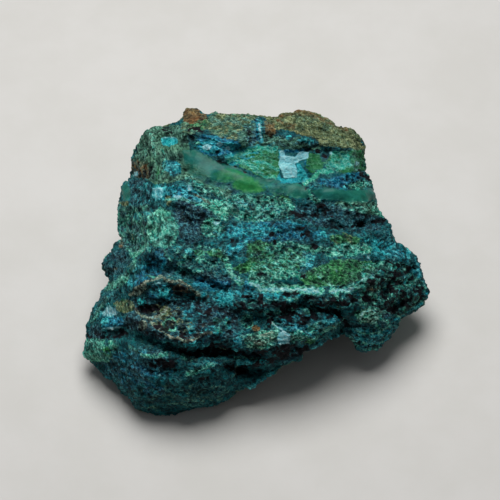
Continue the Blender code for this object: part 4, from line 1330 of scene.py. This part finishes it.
leaned = Matrix.Rotation(LEAN_BACK, 3, "X")
bedding = (leaned @ Matrix.Rotation(-LAYER_TILT, 3, "Z")).to_euler()
upright = (leaned @ Matrix.Rotation(FIBRE_TILT, 3, "Z")).to_euler()
print("bedding turned by", [round(math.degrees(angle)) for angle in bedding], "degrees")


def place_in_mm(tree):
    place = add_node(tree, "ShaderNodeTexCoord").outputs["Object"]
    in_mm = add_node(tree, "ShaderNodeVectorMath", operation="SCALE")
    tree.links.new(place, in_mm.inputs[0])
    in_mm.inputs["Scale"].default_value = 1 / MM
    return in_mm.outputs[0]


def stone_space(tree, in_mm, turn, size, shift=(0, 0, 0)):
    """Coordinates in which one unit is a grain of the given size in mm, turned with the stone."""
    node = add_node(tree, "ShaderNodeMapping", vector_type="TEXTURE")
    tree.links.new(in_mm, node.inputs["Vector"])
    node.inputs["Location"].default_value = shift
    node.inputs["Rotation"].default_value = turn
    node.inputs["Scale"].default_value = size
    return node.outputs["Vector"]


def weighted(tree, values, weights):
    """The sum of values times their weights."""
    total = None
    for value, weight in zip(values, weights):
        part = times(tree, value, weight)
        total = part if total is None else math_node(tree, "ADD", total, part)
    return total


def stretched(tree, value, low=USUAL_NOISE[0], high=USUAL_NOISE[1]):
    """Noise spread from its usual narrow range to the whole of 0 to 1."""
    return remap(tree, value, low, high, smooth=False)


def wall_node(tree, space, width):
    """1 on the walls of a net of small bent cells, 0 inside them."""
    bend = add_node(tree, "ShaderNodeTexNoise")
    tree.links.new(space, bend.inputs["Vector"])
    bend.inputs["Scale"].default_value = 0.9
    bend.inputs["Detail"].default_value = 2.0
    bent = add_node(tree, "ShaderNodeVectorMath", operation="MULTIPLY_ADD")
    tree.links.new(bend.outputs["Color"], bent.inputs[0])
    bent.inputs[1].default_value = CELL_WARP
    tree.links.new(space, bent.inputs[2])
    cells = add_node(tree, "ShaderNodeTexVoronoi", feature="DISTANCE_TO_EDGE")
    tree.links.new(bent.outputs[0], cells.inputs["Vector"])
    cells.inputs["Scale"].default_value = 1.0
    return remap(tree, cells.outputs["Distance"], width, 0.0)


def grain_patterns(tree, in_mm, fibrous):
    """Wide patches, grains, fine grains and cell walls, from 0 to 1."""
    fibre_share = times(tree, fibrous, FIBRES_AT_MOST)
    shares = (rest_of(tree, fibre_share), fibre_share)
    wide = stretched(tree, noise_node(tree, stone_space(tree, in_mm, bedding, WIDE_GRAIN), 4, 0.6))
    mixed = []
    for (round_size, fibre_size), detail, roughness in ((GRAIN, 4, 0.66), (FINE_GRAIN, 3, 0.7)):
        lying = noise_node(tree, stone_space(tree, in_mm, bedding, round_size), detail, roughness)
        standing = noise_node(tree, stone_space(tree, in_mm, upright, fibre_size), detail, roughness)
        mixed.append(stretched(tree, weighted(tree, (lying, standing), shares)))
    round_walls = wall_node(tree, stone_space(tree, in_mm, bedding, CELLS[0]), WALL_WIDTHS[0])
    fibre_walls = wall_node(tree, stone_space(tree, in_mm, upright, CELLS[1]), WALL_WIDTHS[1])
    walls = weighted(tree, (round_walls, fibre_walls), shares)
    return wide, *mixed, walls


# %% [markdown]
# ## The stone's material
#
# Patches are laid in the order in which they cover each other in the rock: the ground first,
# then the minerals in the order of the table, then pale threads on the cell walls, then the
# black, and last the dark inside the pits and a fine pepper. The height of the carved grain
# has the largest part in the tone inside the patches: gaps are dark and tops are pale. Only
# glassy silica is smooth.

# %% Tones of the minerals
# mineral: dark, middle and light tone, raggedness, roughness
TONES = {
    "sage": (colour(22, 52, 44), colour(54, 98, 82), colour(120, 172, 148), 0.8, 0.7),
    "slate": (colour(2, 20, 32), colour(14, 56, 72), colour(68, 138, 150), 0.9, 0.6),
    "blue": (colour(0, 44, 66), colour(0, 94, 124), colour(56, 170, 194), 0.9, 0.5),
    "cyan": (colour(0, 66, 80), colour(8, 130, 142), colour(94, 214, 218), 0.9, 0.5),
    "green": (colour(4, 48, 24), colour(24, 96, 56), colour(84, 162, 108), 1.1, 0.5),
    "olive": (colour(24, 32, 18), colour(70, 82, 52), colour(150, 158, 114), 1.0, 0.85),
    "mint": (colour(0, 72, 68), colour(30, 142, 124), colour(146, 230, 208), 1.1, 0.6),
    "glass": (colour(8, 64, 58), colour(22, 92, 82), colour(48, 122, 108), 0.7, 0.36),
    "lens": (colour(18, 82, 44), colour(34, 112, 66), colour(64, 144, 90), 0.3, 0.36),
    "rust": (colour(38, 28, 16), colour(88, 68, 38), colour(140, 112, 68), 0.6, 0.8),
    "beige": (colour(40, 48, 42), colour(98, 104, 90), colour(176, 176, 154), 0.4, 0.8),
    "white": (colour(28, 122, 142), colour(112, 176, 184), colour(198, 222, 224), 0.5, 0.5),
}
BLACK = (colour(5, 5, 9), colour(14, 12, 17), colour(44, 36, 42))
BLACK_RAGGEDNESS = 1.5
PIT = colour(4, 14, 20)
THREAD = colour(146, 212, 190)
# place on the ramp and tint, from the gaps of the grain to its tops
GROUND = ((0.0, colour(0, 20, 28)), (0.32, colour(0, 50, 62)), (0.55, colour(4, 84, 92)),
          (0.75, colour(20, 116, 116)), (1.0, colour(96, 190, 174)))
GROUND_ROUGHNESS = (0.5, 0.75)
# grain sizes in mm, and the part of a noise's range that is spread from 0 to 1
MINERAL_GRAIN = (2.8, 1.5, 2.2)
SHIFT_PER_MINERAL = (7.3, 3.1, 5.7)
BLOB_GRAIN = (2.0, 1.4, 1.7)
BLOB_NOISE = (0.36, 0.64)
PEPPER_GRAIN = (0.85, 0.65, 0.75)
PEPPER_NOISE = (0.62, 0.38)
PEPPER_RANGE = (0.56, 0.78)
PEPPER_DARKNESS = 0.75
OLIVE_PLAIN = 0.6
CLUMP_GRAIN = (3.4, 2.0, 2.6)
HUE_RANGE = (0.48, 0.52)
BRIGHTNESS_RANGE = (0.78, 1.26)
# how smooth a point is before its tone is drawn to the middle, and how far
CALM_RANGE = (0.0, 0.35)
CALM_TO_MIDDLE = 0.5
# shares: fine grain, carved height, grain, walls
TONE_MIX = (0.28, 0.42, 0.14, 0.16)
# grain, tone, wide patches
GROUND_MIX = (0.30, 0.45, 0.25)
# its own noise, tone
MINERAL_MIX = (0.75, 0.25)
# mint, beige, wide patches
THREAD_MIX = (0.4, 0.3, 0.2)
# its own noise, wide patches
PEPPER_MIX = (0.8, 0.2)
# grain, fine grain, walls
BUMP_MIX = (0.4, 0.3, 0.3)
SPECULAR = 0.12
BUMP_STRENGTH = 0.85
BUMP_DISTANCE = 0.4 * MM
print("minerals with tones:", len(TONES))


# %% Layers of paint
def read_channels(tree):
    """The painted values by name. The fourth of each attribute is in its alpha."""
    channels = {}
    for name, minerals in PAINT.items():
        read = add_node(tree, "ShaderNodeAttribute", attribute_name=name)
        split = add_node(tree, "ShaderNodeSeparateColor")
        tree.links.new(read.outputs["Color"], split.inputs["Color"])
        for output, mineral in zip(split.outputs, minerals):
            channels[mineral] = output
        channels[minerals[3]] = read.outputs["Alpha"]
    return channels


def ground_ramp(tree, share):
    ramp = add_node(tree, "ShaderNodeValToRGB")
    stops = ramp.color_ramp.elements
    while len(stops) < len(GROUND):
        stops.new(0.5)
    for stop, (position, tint) in zip(stops, GROUND):
        stop.position = position
        stop.color = tint
    tree.links.new(share, ramp.inputs["Fac"])
    return ramp.outputs["Color"]


def lay_patch(tree, inputs, tints, raggedness):
    """Places the patch group: its four linked inputs by name, then its own three tints."""
    patch = add_node(tree, "ShaderNodeGroup", node_tree=patch_group)
    for socket, value in inputs.items():
        tree.links.new(value, patch.inputs[socket])
    for socket, tint in zip(("Dark", "Middle", "Light"), tints):
        patch.inputs[socket].default_value = tint
    patch.inputs["Raggedness"].default_value = raggedness
    return patch.outputs["Color"], patch.outputs["Mask"]


def lay_minerals(tree, in_mm, channels, ground, tone):
    """Lays all minerals of the table over the ground: colour and roughness."""
    roughness = remap(tree, tone, 0, 1, *GROUND_ROUGHNESS)
    for number, (mineral, look) in enumerate(TONES.items()):
        *tints, raggedness, own_roughness = look
        shift = tuple(number * step for step in SHIFT_PER_MINERAL)
        own_noise = noise_node(tree, stone_space(tree, in_mm, bedding, MINERAL_GRAIN, shift), 5, 0.7)
        own_grain = weighted(tree, (stretched(tree, own_noise), tone), MINERAL_MIX)
        inputs = {"Ground": ground, "Cover": channels[mineral], "Grain": own_grain, "Tone": tone}
        ground, mask = lay_patch(tree, inputs, tints, raggedness)
        gap = math_node(tree, "SUBTRACT", own_roughness, roughness)
        roughness = weighted(tree, (roughness, gap), (1.0, mask))
    return ground, roughness


def lay_black(tree, in_mm, channels, ground, tone, wide, calm):
    """Lays the drawn black in blobs, then the pits and a fine pepper that spares calm parts."""
    blob_space = stone_space(tree, in_mm, bedding, BLOB_GRAIN, (3, 41, 12))
    blobs = stretched(tree, noise_node(tree, blob_space, 2, 0.5), *BLOB_NOISE)
    inputs = {"Ground": ground, "Cover": channels["black"], "Grain": blobs, "Tone": tone}
    ground, _ = lay_patch(tree, inputs, BLACK, BLACK_RAGGEDNESS)

    pepper_space = stone_space(tree, in_mm, bedding, PEPPER_GRAIN, (31, 17, 5))
    pepper = stretched(tree, noise_node(tree, pepper_space, 3, 0.6), *PEPPER_NOISE)
    pepper = remap(tree, weighted(tree, (pepper, wide), PEPPER_MIX), *PEPPER_RANGE)
    plain = math_node(tree, "MAXIMUM", channels["white"], times(tree, channels["olive"], OLIVE_PLAIN))
    plain = math_node(tree, "MAXIMUM", calm, plain)
    pepper = times(tree, times(tree, pepper, rest_of(tree, plain)), PEPPER_DARKNESS)
    return mix_colour(tree, math_node(tree, "MAXIMUM", channels["pit"], pepper), ground, PIT)


def vary_colour(tree, in_mm, final, wide):
    """Small shifts of hue in wide patches, and of brightness in clumps of grains."""
    clump_space = stone_space(tree, in_mm, bedding, CLUMP_GRAIN, (19, 8, 27))
    clumps = stretched(tree, noise_node(tree, clump_space, 3, 0.6))
    vary = add_node(tree, "ShaderNodeHueSaturation")
    tree.links.new(final, vary.inputs["Color"])
    tree.links.new(remap(tree, wide, 0, 1, *HUE_RANGE, smooth=False), vary.inputs["Hue"])
    tree.links.new(remap(tree, clumps, 0, 1, *BRIGHTNESS_RANGE, smooth=False), vary.inputs["Value"])
    return vary.outputs["Color"]


# %% Stone material
def stone_material():
    material = bpy.data.materials.new("banded chrysocolla")
    material.use_nodes = True
    tree = material.node_tree
    shader = tree.nodes["Principled BSDF"]
    shader.inputs["Specular IOR Level"].default_value = SPECULAR
    in_mm = place_in_mm(tree)
    channels = read_channels(tree)
    smooth_share = math_node(tree, "MAXIMUM", channels["glass"], channels["lens"])
    rough_share = rest_of(tree, smooth_share)
    calm = remap(tree, smooth_share, *CALM_RANGE)

    wide, grain, fine, walls = grain_patterns(tree, in_mm, channels["fibrous"])
    tone = weighted(tree, (fine, channels["height"], grain, walls), TONE_MIX)
    to_middle = math_node(tree, "SUBTRACT", 0.5, tone)
    tone = weighted(tree, (tone, times(tree, to_middle, calm)), (1.0, CALM_TO_MIDDLE))

    ground = ground_ramp(tree, weighted(tree, (grain, tone, wide), GROUND_MIX))
    minerals, roughness = lay_minerals(tree, in_mm, channels, ground, tone)
    thread_share = weighted(tree, (channels["mint"], channels["beige"], wide), THREAD_MIX)
    thread_share = times(tree, thread_share, times(tree, walls, rough_share))
    threaded = mix_colour(tree, thread_share, minerals, THREAD)
    final = lay_black(tree, in_mm, channels, threaded, tone, wide, calm)
    tree.links.new(vary_colour(tree, in_mm, final, wide), shader.inputs["Base Color"])
    tree.links.new(roughness, shader.inputs["Roughness"])

    relief = times(tree, weighted(tree, (grain, fine, walls), BUMP_MIX), rough_share)
    bump = add_node(tree, "ShaderNodeBump")
    bump.inputs["Strength"].default_value = BUMP_STRENGTH
    bump.inputs["Distance"].default_value = BUMP_DISTANCE
    tree.links.new(relief, bump.inputs["Height"])
    tree.links.new(bump.outputs["Normal"], shader.inputs["Normal"])
    return material


skin.data.materials.append(stone_material())
print("material nodes:", len(skin.data.materials[0].node_tree.nodes))

# %% [markdown]
# ## Studio
#
# The stone stands on a plain pale table under one large soft light that hangs above and a
# little behind it, so the top glows, the face is evenly lit, and the overhang throws a short
# soft shadow towards the viewer.

# %% Floor, light and world
FLOOR_SIZE = 6.0
TABLE_TINTS = (colour(192, 190, 185), colour(197, 195, 191))
TABLE_ROUGHNESS = 0.75
DUST_SCALE = 40
KEY_PLACE = Vector((-0.03, 0.13, 0.50))
KEY_SIZE = 0.40
KEY_POWER = 3.3
SKY_TINT = (0.93, 0.95, 1.0, 1.0)
SKY = 0.16


def add_floor():
    form = bmesh.new()
    bmesh.ops.create_grid(form, x_segments=1, y_segments=1, size=FLOOR_SIZE / 2)
    mesh = bpy.data.meshes.new("table_top")
    form.to_mesh(mesh)
    form.free()
    floor = bpy.data.objects.new("table_top", mesh)
    bpy.context.scene.collection.objects.link(floor)
    material = bpy.data.materials.new("pale table")
    material.use_nodes = True
    tree = material.node_tree
    shader = tree.nodes["Principled BSDF"]
    place = add_node(tree, "ShaderNodeTexCoord").outputs["Object"]
    dust = remap(tree, noise_node(tree, place, 5, 0.6, DUST_SCALE), 0.3, 0.7)
    tree.links.new(mix_colour(tree, dust, *TABLE_TINTS), shader.inputs["Base Color"])
    shader.inputs["Roughness"].default_value = TABLE_ROUGHNESS
    mesh.materials.append(material)
    return floor


def add_key_light():
    data = bpy.data.lights.new("soft light", "AREA")
    data.shape = "DISK"
    data.size = KEY_SIZE
    data.energy = KEY_POWER
    light = bpy.data.objects.new("soft light", data)
    bpy.context.scene.collection.objects.link(light)
    light.location = KEY_PLACE
    light.rotation_mode = "QUATERNION"
    light.rotation_quaternion = KEY_PLACE.to_track_quat("Z", "Y")


floor = add_floor()
add_key_light()
world = bpy.data.worlds.new("studio")
world.use_nodes = True
world.node_tree.nodes["Background"].inputs["Color"].default_value = SKY_TINT
world.node_tree.nodes["Background"].inputs["Strength"].default_value = SKY
bpy.context.scene.world = world
bpy.context.scene.view_settings.view_transform = "Standard"
print("light at", [round(v, 2) for v in KEY_PLACE], "m")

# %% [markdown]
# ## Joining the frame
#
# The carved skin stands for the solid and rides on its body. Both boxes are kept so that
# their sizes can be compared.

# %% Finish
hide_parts("stone")
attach(skin, "root")
